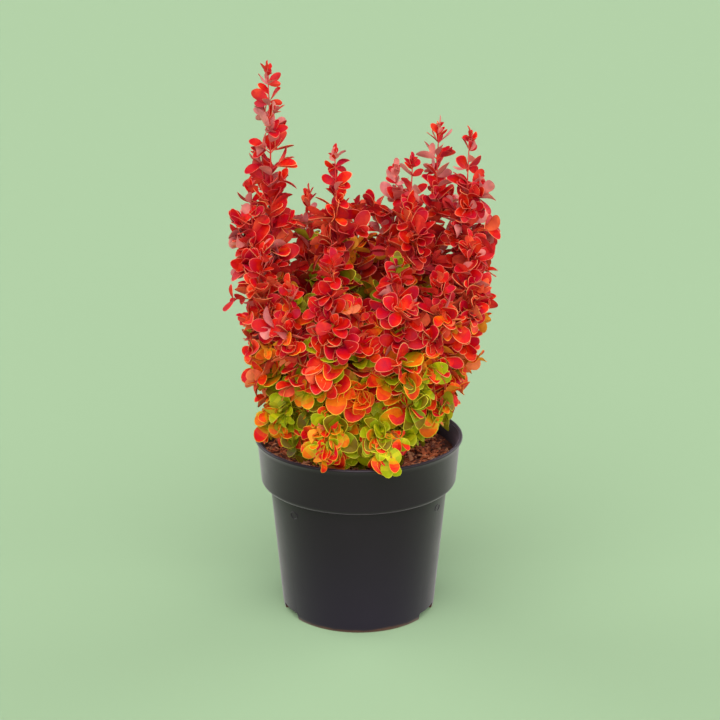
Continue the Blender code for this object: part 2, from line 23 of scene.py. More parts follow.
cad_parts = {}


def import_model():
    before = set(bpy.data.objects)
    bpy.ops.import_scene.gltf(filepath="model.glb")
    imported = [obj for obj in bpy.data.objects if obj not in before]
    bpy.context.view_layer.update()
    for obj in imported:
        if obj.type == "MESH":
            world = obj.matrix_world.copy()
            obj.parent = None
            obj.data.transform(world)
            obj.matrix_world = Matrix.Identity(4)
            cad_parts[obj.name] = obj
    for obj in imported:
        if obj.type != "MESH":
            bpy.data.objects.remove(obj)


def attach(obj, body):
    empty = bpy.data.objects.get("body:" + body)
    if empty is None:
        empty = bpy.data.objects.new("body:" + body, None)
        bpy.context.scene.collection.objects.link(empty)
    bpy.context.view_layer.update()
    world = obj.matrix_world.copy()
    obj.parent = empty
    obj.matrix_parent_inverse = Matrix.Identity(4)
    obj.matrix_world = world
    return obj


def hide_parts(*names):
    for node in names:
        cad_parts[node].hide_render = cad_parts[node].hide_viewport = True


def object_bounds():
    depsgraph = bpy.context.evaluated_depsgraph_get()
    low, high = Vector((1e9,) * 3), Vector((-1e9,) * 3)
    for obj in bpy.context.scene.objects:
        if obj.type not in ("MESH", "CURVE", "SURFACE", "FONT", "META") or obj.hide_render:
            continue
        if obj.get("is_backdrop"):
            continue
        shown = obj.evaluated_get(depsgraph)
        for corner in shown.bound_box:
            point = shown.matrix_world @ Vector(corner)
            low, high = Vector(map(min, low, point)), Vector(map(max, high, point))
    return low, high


Pair = tuple[float, float]
Shade = tuple[int, int, int]
Colour = tuple[float, float, float, float]

LOG = logging.getLogger("potted_barberry")
UP = Vector((0.0, 0.0, 1.0))
ZONE = "zone"


def linear(red: int, green: int, blue: int) -> Colour:
    """Turn a display colour of 0 to 255 into a scene colour.

    Args:
        red: Red of the display colour.
        green: Green of the display colour.
        blue: Blue of the display colour.

    Returns:
        The colour as scene values with a full alpha.
    """
    parts = []
    for value in (red, green, blue):
        share = value / 255.0
        parts.append(share / 12.92 if share <= 0.04045 else ((share + 0.055) / 1.055) ** 2.4)
    return (parts[0], parts[1], parts[2], 1.0)


# Leaf tones and tints


@dataclass(frozen=True)
class Tone:
    """One colour of a leaf's surface, with its gloss.

    Attributes:
        name: Name of its material.
        colour: Display colour of 0 to 255.
        roughness: How matte the surface is.
        mottle: How much the colour varies over the surface.
    """

    name: str
    colour: Shade
    roughness: float = 0.50
    mottle: float = 0.22


# Rosy margin: partly the leaf's pale margin, partly painted highlight, lightened to stand in for a
# pinkish sheen on the upper leaves.
ROSY_EDGE_AND_HIGHLIGHT = Tone("edge_rosy", (230, 100, 82))
CREAM_EDGE = Tone("edge_cream", (240, 146, 96))
GOLD_EDGE = Tone("edge_gold", (240, 160, 44))
GREEN_EDGE = Tone("edge_green", (204, 190, 44))
PINK_BACK = Tone("back_pink", (224, 132, 128), 0.6)
RED_BACK = Tone("back_red", (218, 50, 46), 0.6)
WINE_BACK = Tone("back_wine", (190, 36, 40), 0.6)
CORAL_BACK = Tone("back_coral", (234, 92, 62), 0.6)
SALMON_BACK = Tone("back_salmon", (244, 132, 84), 0.6)
STRAW_BACK = Tone("back_straw", (240, 156, 44), 0.6)
GREEN_BACK = Tone("back_green", (172, 168, 34), 0.6)


@dataclass(frozen=True)
class LeafTint:
    """The tones of one autumn tint.

    Attributes:
        tip: Upper side towards the tip.
        upper: Upper side past the middle.
        lower: Upper side before the middle.
        foot: Upper side next to the stalk.
        edge: The thin margin; the rosy margin is also lightened as a painted highlight.
        back: The underside.
        slot: Name of a material slot; not used.
    """

    tip: Tone
    upper: Tone
    lower: Tone
    foot: Tone
    edge: Tone
    back: Tone
    slot: str = "foliage_red"

    def zones(self) -> tuple[Tone, ...]:
        """Tones in the order of a leaf's zones."""
        return (self.tip, self.upper, self.lower, self.foot, self.edge, self.back)


CRIMSON_TONE = Tone("crimson", (198, 8, 18))
WINE_TONE = Tone("wine", (172, 6, 12))
SCARLET_TONE = Tone("scarlet", (222, 20, 16))
CHERRY_TONE = Tone("cherry", (210, 12, 18))
RUSSET_TONE = Tone("russet", (208, 50, 12))
VERMILION_TONE = Tone("vermilion", (224, 44, 14))
PERSIMMON_TONE = Tone("persimmon", (230, 72, 12))
TANGERINE_TONE = Tone("tangerine", (230, 104, 12))
HONEY_TONE = Tone("honey", (214, 142, 12))
CITRON_TONE = Tone("citron", (196, 164, 10))
LIME_TONE = Tone("lime", (158, 164, 6))
LEMON_TONE = Tone("lemon", (186, 180, 14))
MOSS_TONE = Tone("moss", (130, 136, 6))
OLIVE_TONE = Tone("olive", (122, 96, 6))


class Tint(Enum):
    """The autumn tints that sprays are dealt."""

    ROSE = LeafTint(CRIMSON_TONE, CRIMSON_TONE, CRIMSON_TONE, WINE_TONE, ROSY_EDGE_AND_HIGHLIGHT, PINK_BACK)
    CRIMSON = LeafTint(CRIMSON_TONE, CRIMSON_TONE, CHERRY_TONE, WINE_TONE, ROSY_EDGE_AND_HIGHLIGHT, RED_BACK)
    WINE = LeafTint(WINE_TONE, WINE_TONE, WINE_TONE, CRIMSON_TONE, ROSY_EDGE_AND_HIGHLIGHT, WINE_BACK)
    SCARLET = LeafTint(SCARLET_TONE, CHERRY_TONE, CHERRY_TONE, CRIMSON_TONE, CREAM_EDGE, RED_BACK)
    CHERRY = LeafTint(CHERRY_TONE, CHERRY_TONE, SCARLET_TONE, RUSSET_TONE, CREAM_EDGE, CORAL_BACK)
    VERMILION = LeafTint(SCARLET_TONE, VERMILION_TONE, PERSIMMON_TONE, RUSSET_TONE, CREAM_EDGE,
                         CORAL_BACK)
    FLAME = LeafTint(SCARLET_TONE, VERMILION_TONE, PERSIMMON_TONE, TANGERINE_TONE, GOLD_EDGE,
                     SALMON_BACK, "foliage_amber")
    ORANGE = LeafTint(PERSIMMON_TONE, TANGERINE_TONE, TANGERINE_TONE, HONEY_TONE, GOLD_EDGE,
                      STRAW_BACK, "foliage_amber")
    AMBER = LeafTint(VERMILION_TONE, PERSIMMON_TONE, HONEY_TONE, CITRON_TONE, GOLD_EDGE,
                     STRAW_BACK, "foliage_amber")
    BLUSH = LeafTint(TANGERINE_TONE, HONEY_TONE, CITRON_TONE, LIME_TONE, GREEN_EDGE, GREEN_BACK,
                     "foliage_amber")
    LIME = LeafTint(LIME_TONE, LEMON_TONE, LIME_TONE, MOSS_TONE, GREEN_EDGE, GREEN_BACK,
                    "foliage_amber")
    OLIVE = LeafTint(OLIVE_TONE, MOSS_TONE, MOSS_TONE, OLIVE_TONE, GREEN_EDGE, GREEN_BACK,
                     "foliage_amber")


@dataclass(frozen=True)
class TintBand:
    """How often each tint is dealt at one height of the crown.

    Attributes:
        height: Height above the floor.
        outer: Weight of each tint at the crown's outside.
        inner: Weight of each tint deep inside: greener low down, and above with more of the darker
            wine, which is painted shade.
    """

    height: float
    outer: dict[Tint, float]
    inner: dict[Tint, float]


def mixed(**weights: float) -> dict[Tint, float]:
    """The weights of the tints that are named."""
    return {Tint[name.upper()]: weight for name, weight in weights.items()}


# Inner weights: greener leaves low down, and in the upper crown more of the darker wine as painted
# shade for the crown's shaded inside.
TINT_BANDS = (
    TintBand(0.165, mixed(flame=4, amber=3, blush=5, lime=7, olive=2),
             mixed(lime=6, olive=3, blush=1)),
    TintBand(0.205, mixed(vermilion=1, flame=4, amber=4, blush=4, lime=6, olive=2),
             mixed(lime=6, olive=3, blush=1)),
    TintBand(0.240, mixed(cherry=1, vermilion=3, flame=4, orange=4, amber=4, blush=3, lime=3,
                          olive=1),
             mixed(lime=7, olive=2, orange=2, blush=1)),
    TintBand(0.275, mixed(cherry=6, scarlet=4, vermilion=3, flame=2, orange=2, rose=2, amber=1),
             mixed(lime=5, olive=3, orange=3, flame=2, wine=1)),
    TintBand(0.310, mixed(crimson=5, cherry=5, scarlet=4, vermilion=1, rose=4),
             mixed(lime=2, olive=2, orange=2, vermilion=3, wine=4)),
    TintBand(0.350, mixed(crimson=6, wine=1, cherry=3, scarlet=4, rose=11),
             mixed(orange=1, vermilion=3, wine=4, crimson=4)),
    TintBand(0.400, mixed(crimson=3, wine=1, scarlet=2, rose=16),
             mixed(wine=2, crimson=4, scarlet=4, rose=4)),
)


# Shared workshop functions


def leave_edit() -> None:
    """Go back to object mode."""
    bpy.ops.object.mode_set(mode="OBJECT")


def clear_selection() -> None:
    """Leave edit mode and deselect every object."""
    if bpy.context.object is not None and bpy.context.object.mode != "OBJECT":
        leave_edit()
    bpy.ops.object.select_all(action="DESELECT")


def pick(item: Object) -> None:
    """Make one object the selected and active one."""
    clear_selection()
    item.select_set(True)
    bpy.context.view_layer.objects.active = item


def newest(name: str) -> Object:
    """Name the primitive that was just added and return it."""
    item = bpy.context.object
    item.name = name
    item.data.name = name
    return item


def enter_edit(item: Object, mode: str = "FACE", action: str = "DESELECT") -> None:
    """Open an object in edit mode with nothing or everything selected.

    Args:
        item: The mesh object.
        mode: VERT, EDGE or FACE selection.
        action: DESELECT or SELECT.
    """
    pick(item)
    bpy.ops.object.mode_set(mode="EDIT")
    bpy.ops.mesh.select_mode(type=mode)
    bpy.ops.mesh.select_all(action=action)


def cut_across(place: Sequence[float], across: Sequence[float]) -> None:
    """Cut the whole of the open mesh along a plane."""
    bpy.ops.mesh.select_all(action="SELECT")
    bpy.ops.mesh.bisect(plane_co=place, plane_no=across)


def join_to(item: Object, other: Object) -> None:
    """Join another object to an item."""
    pick(item)
    other.select_set(True)
    bpy.ops.object.join()


def combine(item: Object, tool: Object, operation: str) -> None:
    """Cut a tool's shape from an item or unite them, and remove the tool.

    Args:
        item: The item.
        tool: The tool.
        operation: DIFFERENCE or UNION.
    """
    change = item.modifiers.new(tool.name, "BOOLEAN")
    change.operation = operation
    change.object = tool
    change.solver = "EXACT"
    pick(item)
    bpy.ops.object.modifier_apply(modifier=change.name)
    bpy.data.objects.remove(tool, do_unlink=True)


def close_shell(item: Object, distance: float = 0.00001) -> None:
    """Merge doubled points and turn every face outwards.

    Args:
        item: The mesh object.
        distance: Points nearer than this are merged.
    """
    enter_edit(item, "VERT", "SELECT")
    bpy.ops.mesh.remove_doubles(threshold=distance)
    bpy.ops.mesh.normals_make_consistent(inside=False)
    leave_edit()


def smooth(item: Object, degrees: float) -> None:
    """Shade smooth with edges sharper than an angle kept."""
    pick(item)
    bpy.ops.object.shade_smooth_by_angle(angle=math.radians(degrees))


def settle(item: Object) -> None:
    """Apply an object's place, turn and size to its mesh."""
    pick(item)
    bpy.ops.object.transform_apply(location=True, rotation=True, scale=True)


def draw_profile(name: str, points: Sequence[Pair]) -> Object:
    """Draw an outline of radius and height pairs, point by point.

    Args:
        name: Name of the new object.
        points: Radius and height of each point, in order.

    Returns:
        The object, a run of edges in the XZ plane.
    """
    clear_selection()
    bpy.ops.mesh.primitive_plane_add(size=0.001)
    item = newest(name)
    bpy.ops.object.mode_set(mode="EDIT")
    bpy.ops.mesh.select_mode(type="VERT")
    bpy.ops.mesh.select_all(action="SELECT")
    bpy.ops.mesh.merge(type="CENTER")
    bpy.ops.mesh.select_all(action="SELECT")
    place = (0.0, 0.0)
    for number, (radius, height) in enumerate(points):
        step = (radius - place[0], 0.0, height - place[1])
        if number == 0:
            bpy.ops.transform.translate(value=step)
        else:
            bpy.ops.mesh.extrude_vertices_move(TRANSFORM_OT_translate={"value": step})
        place = (radius, height)
    leave_edit()
    return item


def turn_profile(item: Object, steps: int) -> None:
    """Spin an outline once round the vertical axis and close it.

    Args:
        item: The outline's object.
        steps: Number of faces round the axis.
    """
    enter_edit(item, "VERT", "SELECT")
    bpy.ops.mesh.spin(steps=steps, angle=2.0 * math.pi, center=(0.0, 0.0, 0.0), axis=UP)
    leave_edit()
    close_shell(item)


def arc(centre: Pair, radius: float, start: float, end: float,
        steps: int) -> list[Pair]:
    """Points along an arc of an outline.

    Args:
        centre: Radius and height of the arc's centre.
        radius: Radius of the arc.
        start: Angle of its first point in degrees.
        end: Angle of its last point in degrees.
        steps: Number of steps between them.

    Returns:
        The radius and height of each point.
    """
    angles = [math.radians(start + (end - start) * k / steps) for k in range(steps + 1)]
    return [(centre[0] + radius * math.cos(a), centre[1] + radius * math.sin(a)) for a in angles]


def hand_over(item: Object, nodes: Iterable[str]) -> None:
    """Attach a finished piece to the body and hide the nodes it stands for.

    Args:
        item: The finished piece.
        nodes: CAD nodes that the piece replaces.
    """
    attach(item, "root")
    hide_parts(*nodes)
    LOG.info("%s: %d faces", item.name, len(item.data.polygons))


# Blanks that are modelled once and dealt out many times


@dataclass
class Blank:
    """A small shape held as arrays, to be dealt out many times.

    Attributes:
        points: Place of each point.
        faces: Point numbers of each face.
        slots: Material number of each face.
    """

    points: np.ndarray
    faces: list[list[int]]
    slots: list[int]

    @classmethod
    def taken_from(cls, item: Object) -> Blank:
        """Read a modelled object into arrays and remove it.

        Args:
            item: The modelled object.

        Returns:
            The blank.
        """
        mesh = item.data
        points = np.empty(len(mesh.vertices) * 3)
        mesh.vertices.foreach_get("co", points)
        faces = [list(face.vertices) for face in mesh.polygons]
        zones = mesh.attributes.get(ZONE)
        slots = [zone.value for zone in zones.data] if zones else [0] * len(faces)
        bpy.data.objects.remove(item, do_unlink=True)
        return cls(points.reshape(-1, 3), faces, slots)

    def deal(self, name: str, copies: np.ndarray) -> Object:
        """Join copies of the blank in one object.

        Args:
            name: Name of the new object.
            copies: Places of the points of every copy.

        Returns:
            The joined object.
        """
        count = len(copies)
        corners = np.array([corner for face in self.faces for corner in face])
        totals = np.array([len(face) for face in self.faces])
        shift = np.arange(count)[:, None] * len(self.points)
        mesh = bpy.data.meshes.new(name)
        mesh.vertices.add(count * len(self.points))
        mesh.vertices.foreach_set("co", copies.astype(np.float32).ravel())
        mesh.loops.add(count * len(corners))
        mesh.loops.foreach_set("vertex_index", (corners[None, :] + shift).ravel())
        mesh.polygons.add(count * len(totals))
        mesh.polygons.foreach_set("loop_start", np.concatenate([[0], np.cumsum(
            np.tile(totals, count))[:-1]]))
        mesh.polygons.foreach_set("material_index", np.tile(np.array(self.slots), count))
        mesh.update(calc_edges=True)
        item = bpy.data.objects.new(name, mesh)
        bpy.context.scene.collection.objects.link(item)
        return item


@dataclass
class LeafBlank:
    """A leaf of unit length: narrow foot, widest past its middle, rounded tip.

    Its zones run from 0 at the tip to the foot, then the margin and the underside.

    Attributes:
        corners: Points round the outline.
        width: Greatest width.
        crest: Where the widest place lies along the leaf.
        pinch: How much the outline narrows towards its ends.
        margin: Width of the pale margin.
        cuts: Where one zone of the blade ends and the next begins.
        thickness: Thickness of the blade.
    """

    corners: int = 14
    width: float = 0.62
    crest: float = 0.60
    pinch: float = 1.15
    margin: float = 0.017
    cuts: tuple[float, ...] = (0.27, 0.47, 0.68)
    thickness: float = 0.02

    def flat_side(self, name: str) -> Object:
        """Make one flat side with the leaf's outline.

        Args:
            name: Name of the new object.

        Returns:
            The side, a single face.
        """
        clear_selection()
        bpy.ops.mesh.primitive_circle_add(vertices=self.corners, radius=1.0, fill_type="NGON")
        item = newest(name)
        power = math.log(self.crest) / math.log(0.5)
        for vertex in item.data.vertices:
            turn = math.atan2(vertex.co.x, vertex.co.y)
            run = ((1.0 - math.cos(turn)) / 2.0) ** power
            side = math.copysign(abs(math.sin(turn)) ** self.pinch, math.sin(turn))
            vertex.co = (run, self.width / 2.0 * side, 0.0)
        return item

    def cut(self) -> None:
        """Cut the open side along its midrib and across, in edit mode."""
        cut_across((0.0, 0.0, 0.0), (0.0, 1.0, 0.0))
        for place in self.cuts:
            cut_across((place, 0.0, 0.0), (1.0, 0.0, 0.0))

    def model(self) -> Blank:
        """Model the upper side with its margin and the underside, and join them.

        Returns:
            The flat leaf.
        """
        upper = self.flat_side("leaf_upper")
        enter_edit(upper, action="SELECT")
        bpy.ops.mesh.inset(thickness=self.margin, use_even_offset=True)
        shape = bmesh.from_edit_mesh(upper.data)
        zone = shape.faces.layers.int.new(ZONE)
        for face in shape.faces:
            face[zone] = 0 if face.select else len(self.cuts) + 1
        bmesh.update_edit_mesh(upper.data)
        self.cut()
        shape = bmesh.from_edit_mesh(upper.data)
        zone = shape.faces.layers.int[ZONE]
        for face in shape.faces:
            if face[zone] == 0:
                place = face.calc_center_median().x
                face[zone] = sum(place < cut for cut in self.cuts)
        for vertex in shape.verts:
            vertex.co.z = 0.0 if vertex.is_boundary else self.thickness
        bmesh.update_edit_mesh(upper.data)
        leave_edit()
        under = self.flat_side("leaf_under")
        enter_edit(under)
        self.cut()
        bpy.ops.mesh.select_all(action="SELECT")
        bpy.ops.mesh.flip_normals()
        shape = bmesh.from_edit_mesh(under.data)
        zone = shape.faces.layers.int.new(ZONE)
        for face in shape.faces:
            face[zone] = len(self.cuts) + 2
        bmesh.update_edit_mesh(under.data)
        leave_edit()
        join_to(upper, under)
        enter_edit(upper, "VERT", "SELECT")
        bpy.ops.mesh.remove_doubles(threshold=0.0001)
        leave_edit()
        return Blank.taken_from(upper)


@dataclass
class TubeBlank:
    """A closed tube of unit length and radius, to be bent along stems.

    Attributes:
        sides: Faces round the tube.
        rings: Cuts along it.
    """

    sides: int
    rings: int

    def model(self) -> Blank:
        """Model the tube from a cylinder and cut it along its length.

        Returns:
            The tube, from height 0 to 1 on +Z.
        """
        clear_selection()
        bpy.ops.mesh.primitive_cylinder_add(vertices=self.sides, radius=1.0, depth=1.0,
                                            location=(0.0, 0.0, 0.5), end_fill_type="TRIFAN")
        item = newest("tube")
        settle(item)
        enter_edit(item)
        for ring in range(1, self.rings + 1):
            cut_across((0.0, 0.0, ring / (self.rings + 1)), UP)
        leave_edit()
        return Blank.taken_from(item)


def unit_rows(rows: np.ndarray) -> np.ndarray:
    """Each row at unit length."""
    return rows / np.linalg.norm(rows, axis=1)[:, None]


def between_rows(places: np.ndarray, shares: np.ndarray, rows: np.ndarray) -> np.ndarray:
    """Rows of three at places between those that are given."""
    return np.stack([np.interp(places, shares, rows[:, k]) for k in range(3)], axis=1)


def bend_tube(blank: Blank, route: Sequence[Vector], radii: Sequence[float]) -> np.ndarray:
    """Lay a tube blank along a route.

    Args:
        blank: The straight tube.
        route: Points of the route.
        radii: Radius at each of them.

    Returns:
        The places of the tube's points.
    """
    line = np.array([tuple(point) for point in route])
    steps = np.linalg.norm(np.diff(line, axis=0), axis=1)
    shares = np.concatenate([[0.0], np.cumsum(steps)]) / steps.sum()
    height = np.clip(blank.points[:, 2], 0.0, 1.0)
    centre = between_rows(height, shares, line)
    slopes = unit_rows(np.gradient(line, axis=0))
    heading = unit_rows(between_rows(height, shares, slopes))
    whole = line[-1] - line[0]
    guide = np.eye(3)[0 if abs(whole[0]) < abs(whole[1]) else 1]
    side = unit_rows(np.cross(heading, guide))
    other = np.cross(heading, side)
    radius = np.interp(height, shares, np.array(radii))[:, None]
    return centre + radius * (blank.points[:, 0:1] * side + blank.points[:, 1:2] * other)


# Where the limbs and shoots run


@dataclass(frozen=True)
class Shoot:
    """One shoot, the stem of one mass of foliage.

    Attributes:
        name: Plain name, also of its mass.
        bearing: Bearing of its tip from +X in degrees.
        reach: Distance of its tip from the pot's axis.
        height: Height of its tip above the floor.
        spire: Length of the bare spire above the crown.
        girth: Reach of its side twigs.
        tip_leaf: Length of its topmost solid leaves.
    """

    name: str
    bearing: float
    reach: float
    height: float
    spire: float
    girth: float
    tip_leaf: float

    def tip(self) -> Vector:
        """Where the shoot ends."""
        return polar_place(self.bearing, self.reach, self.height)


@dataclass(frozen=True)
class Limb:
    """One limb of the root crown and the one or two shoots that it carries.

    Attributes:
        name: Plain name, also of its solid.
        polar: Slant off the vertical at its foot in degrees.
        bearing: Bearing at its foot from +X in degrees.
        split_height: Height at which it ends.
        shoots: The shoots on its end.
    """

    name: str
    polar: float
    bearing: float
    split_height: float
    shoots: tuple[Shoot, ...]


STEEP = 28.0
SLANTED = 40.0
WIDE = 60.0
LIMBS = (
    Limb("tall_left", STEEP, 160, 0.212, (
        Shoot("tall_left", 173, 0.079, 0.490, 0.100, 0.034, 0.018),)),
    Limb("inner_left", STEEP, 218, 0.214, (
        Shoot("inner_left", 207, 0.023, 0.421, 0.062, 0.034, 0.017),)),
    Limb("inner_right", STEEP, 322, 0.214, (
        Shoot("inner_right", -15, 0.048, 0.414, 0.055, 0.034, 0.017),)),
    Limb("tall_right", STEEP, 30, 0.214, (
        Shoot("tall_right", 20, 0.075, 0.436, 0.055, 0.036, 0.020),)),
    Limb("middle", STEEP, 95, 0.206, (
        Shoot("middle", 92, 0.042, 0.358, 0.020, 0.036, 0.024),)),
    Limb("front", SLANTED, 270, 0.186, (
        Shoot("front_middle", 270, 0.068, 0.292, 0.020, 0.034, 0.024),)),
    Limb("outer_left", WIDE, 192, 0.190, (
        Shoot("outer_left", 189, 0.095, 0.391, 0.034, 0.032, 0.020),
        Shoot("side_left", 205, 0.092, 0.336, 0.024, 0.032, 0.022))),
    Limb("front_left", WIDE, 236, 0.188, (
        Shoot("shoulder_left", 226, 0.086, 0.312, 0.020, 0.034, 0.024),
        Shoot("front_left", 254, 0.078, 0.338, 0.022, 0.036, 0.024))),
    Limb("front_right", WIDE, 305, 0.188, (
        Shoot("front_right", -66, 0.080, 0.334, 0.022, 0.036, 0.024),
        Shoot("shoulder_right", -39, 0.088, 0.318, 0.020, 0.034, 0.024))),
    Limb("outer_right", WIDE, 352, 0.190, (
        Shoot("outer_right", 0, 0.096, 0.434, 0.050, 0.034, 0.018),
        Shoot("side_right", -17, 0.100, 0.345, 0.024, 0.032, 0.022))),
    Limb("back_right", WIDE, 35, 0.190, (
        Shoot("far_right", 15, 0.106, 0.364, 0.030, 0.032, 0.020),
        Shoot("shoulder_back_right", 43, 0.092, 0.322, 0.022, 0.034, 0.024))),
    Limb("back", WIDE, 84, 0.190, (
        Shoot("back_right", 64, 0.078, 0.390, 0.036, 0.034, 0.020),
        Shoot("back_middle", 96, 0.084, 0.318, 0.022, 0.036, 0.024))),
    Limb("back_left", WIDE, 138, 0.190, (
        Shoot("back_left", 126, 0.076, 0.368, 0.036, 0.034, 0.020),
        Shoot("shoulder_back_left", 155, 0.088, 0.334, 0.024, 0.034, 0.022))),
)


def polar_place(bearing: float, reach: float, height: float) -> Vector:
    """Place at a bearing from +X in degrees, a reach from the axis and a height."""
    angle = math.radians(bearing)
    return Vector((reach * math.cos(angle), reach * math.sin(angle), height))


@dataclass(frozen=True)
class Bend:
    """A smooth curve that leaves one end and arrives at the other as given."""

    first: Vector
    leave: Vector
    arrive: Vector
    last: Vector

    def points(self, count: int) -> list[Vector]:
        """Points along the curve.

        Args:
            count: How many, with both ends.

        Returns:
            The points in order.
        """
        points = []
        for k in range(count):
            t = k / (count - 1)
            points.append(self.first * (1 - t) ** 3 + self.leave * 3 * t * (1 - t) ** 2
                          + self.arrive * 3 * t ** 2 * (1 - t) + self.last * t ** 3)
        return points


@dataclass
class PlantPlan:
    """Works out the curves of all limbs and shoots from the shoots' tips.

    Attributes:
        soil_top: Height of the soil round the root crown.
        heart: Height above the soil at which the limbs meet.
        gap: Clearance between a limb and its shoots.
        split_share: Where a limb ends, as a share of its shoots' reach.
        fork: How far the two shoots of a limb stand apart at its end.
        low_bearings: Bearings of the low sprays.
    """

    soil_top: float = 0.150
    heart: float = 0.008
    gap: float = 0.0003
    split_share: float = 0.58
    fork: float = 0.0018
    stem_leave: float = 0.40
    stem_arrive: float = 0.25
    axis_lean: float = 0.04
    axis_leave: float = 0.34
    axis_arrive: float = 0.45
    rule_points: int = 5
    low_bearings: tuple[int, ...] = (216, 253, 286, 330, 13, 60, 111, 165)
    low_start: float = 0.006
    low_height: float = 0.0045
    low_leave: float = 0.026
    low_arch: float = 0.214
    low_reach: float = 0.080
    low_front_reach: float = 0.014
    low_front: float = 0.187
    low_side_rise: float = 0.048
    low_back_rise: float = 0.010
    low_leave_share: float = 0.40
    low_arch_share: float = 0.75
    limbs: list[Bend] = field(default_factory=list)
    shoots: list[Shoot] = field(default_factory=list)
    axes: list[Bend] = field(default_factory=list)

    def limb_curve(self, limb: Limb) -> Bend:
        """Curve of one limb from the heart of the root crown to its end."""
        heart = Vector((0.0, 0.0, self.soil_top + self.heart))
        middle = sum((shoot.tip() for shoot in limb.shoots), Vector()) / len(limb.shoots)
        share = self.split_share
        split = Vector((middle.x * share, middle.y * share, limb.split_height))
        slant = math.radians(limb.polar)
        heading = polar_place(limb.bearing, math.sin(slant), math.cos(slant))
        span = (split - heart).length
        aim = (middle - split).normalized()
        return Bend(heart, heart + heading * span * self.stem_leave,
                    split - aim * span * self.stem_arrive, split)

    def shoot_curves(self, limb: Limb, curve: Bend) -> list[Bend]:
        """Curves of the shoots that one limb carries."""
        route = curve.points(self.rule_points)
        heading = (route[-1] - route[-2]).normalized()
        tips = [shoot.tip() for shoot in limb.shoots]
        curves = []
        for k, tip in enumerate(tips):
            foot = route[-1] + heading * self.gap
            if len(tips) == 2:
                away = tip - tips[1 - k]
                away -= heading * away.dot(heading)
                foot += away.normalized() * self.fork
            span = (tip - foot).length
            upright = Vector((tip.x, tip.y, 0.0)).normalized() * self.axis_lean + UP
            curves.append(Bend(foot, foot + heading * span * self.axis_leave,
                               tip - upright * span * self.axis_arrive, tip))
        return curves

    def low_sprays(self) -> list[Shoot]:
        """Low shoots all round: they hang over the rim in front and rise at the sides."""
        sprays = []
        for k, bearing in enumerate(self.low_bearings):
            side = math.cos(math.radians(bearing)) ** 4
            back = math.sin(math.radians(bearing))
            height = self.low_front + self.low_side_rise * side
            height += self.low_back_rise * max(0.0, back)
            reach = self.low_reach + self.low_front_reach * max(0.0, -back) ** 2
            name = "low_%02d" % (k + 1)
            sprays.append(Shoot(name, bearing, reach, height, 0.0, 0.034, 0.028))
        return sprays

    def low_curve(self, shoot: Shoot) -> Bend:
        """Curve of a low spray, from the crown's flank outwards and over."""
        tip = shoot.tip()
        start = polar_place(shoot.bearing, self.low_start, self.soil_top + self.low_height)
        leave = polar_place(shoot.bearing, shoot.reach * self.low_leave_share,
                            self.soil_top + self.low_leave)
        arch = polar_place(shoot.bearing, shoot.reach * self.low_arch_share,
                           tip.z + (self.low_arch - tip.z) * self.low_arch_share)
        return Bend(start, leave, arch, tip)

    def lay_out(self) -> None:
        """Work out every curve, the limbs' shoots first and then the low sprays."""
        for limb in LIMBS:
            curve = self.limb_curve(limb)
            self.limbs.append(curve)
            self.shoots.extend(limb.shoots)
            self.axes.extend(self.shoot_curves(limb, curve))
        for shoot in self.low_sprays():
            self.shoots.append(shoot)
            self.axes.append(self.low_curve(shoot))


# The growth rule of the solids


def segment_distances(points: np.ndarray, starts: np.ndarray, ends: np.ndarray) -> np.ndarray:
    """Distance of each point to each segment, as a table."""
    run = ends - starts
    offset = points[:, None, :] - starts[None, :, :]
    share = np.clip((offset * run).sum(2) / np.maximum((run * run).sum(1), 1e-12), 0.0, 1.0)
    return np.linalg.norm(offset - share[:, :, None] * run, axis=2)


def outward(point: Vector) -> Vector:
    """The level direction away from the pot's axis."""
    level = Vector((point.x, point.y, 0.0))
    return level.normalized() if level.length > 0.001 else Vector((0.0, -1.0, 0.0))


def square_to(direction: Vector, guide: Vector) -> Vector:
    """The part of a guide at right angles to a direction, at unit length."""
    side = guide - direction * guide.dot(direction)
    if side.length < 0.05:
        side = direction.orthogonal()
    return side.normalized()


def along(route: Sequence[Vector], distance: float) -> tuple[Vector, Vector]:
    """Point and heading at a distance along a run of points."""
    for first, last in zip(route, route[1:]):
        span = (last - first).length
        if distance < span:
            break
        distance -= span
    else:
        distance = span
    heading = (last - first).normalized()
    return first + heading * distance, heading


def route_length(route: Sequence[Vector]) -> float:
    """Length of a run of points."""
    return sum((b - a).length for a, b in zip(route, route[1:]))


def fan(point: Vector, heading: Vector, turn: float, spread: float) -> Vector:
    """A heading that leaves a stem at an angle, at a turn from its outward side."""
    side = Matrix.Rotation(math.radians(turn), 3, heading) @ square_to(heading, outward(point))
    angle = math.radians(spread)
    return (heading * math.cos(angle) + side * math.sin(angle)).normalized()


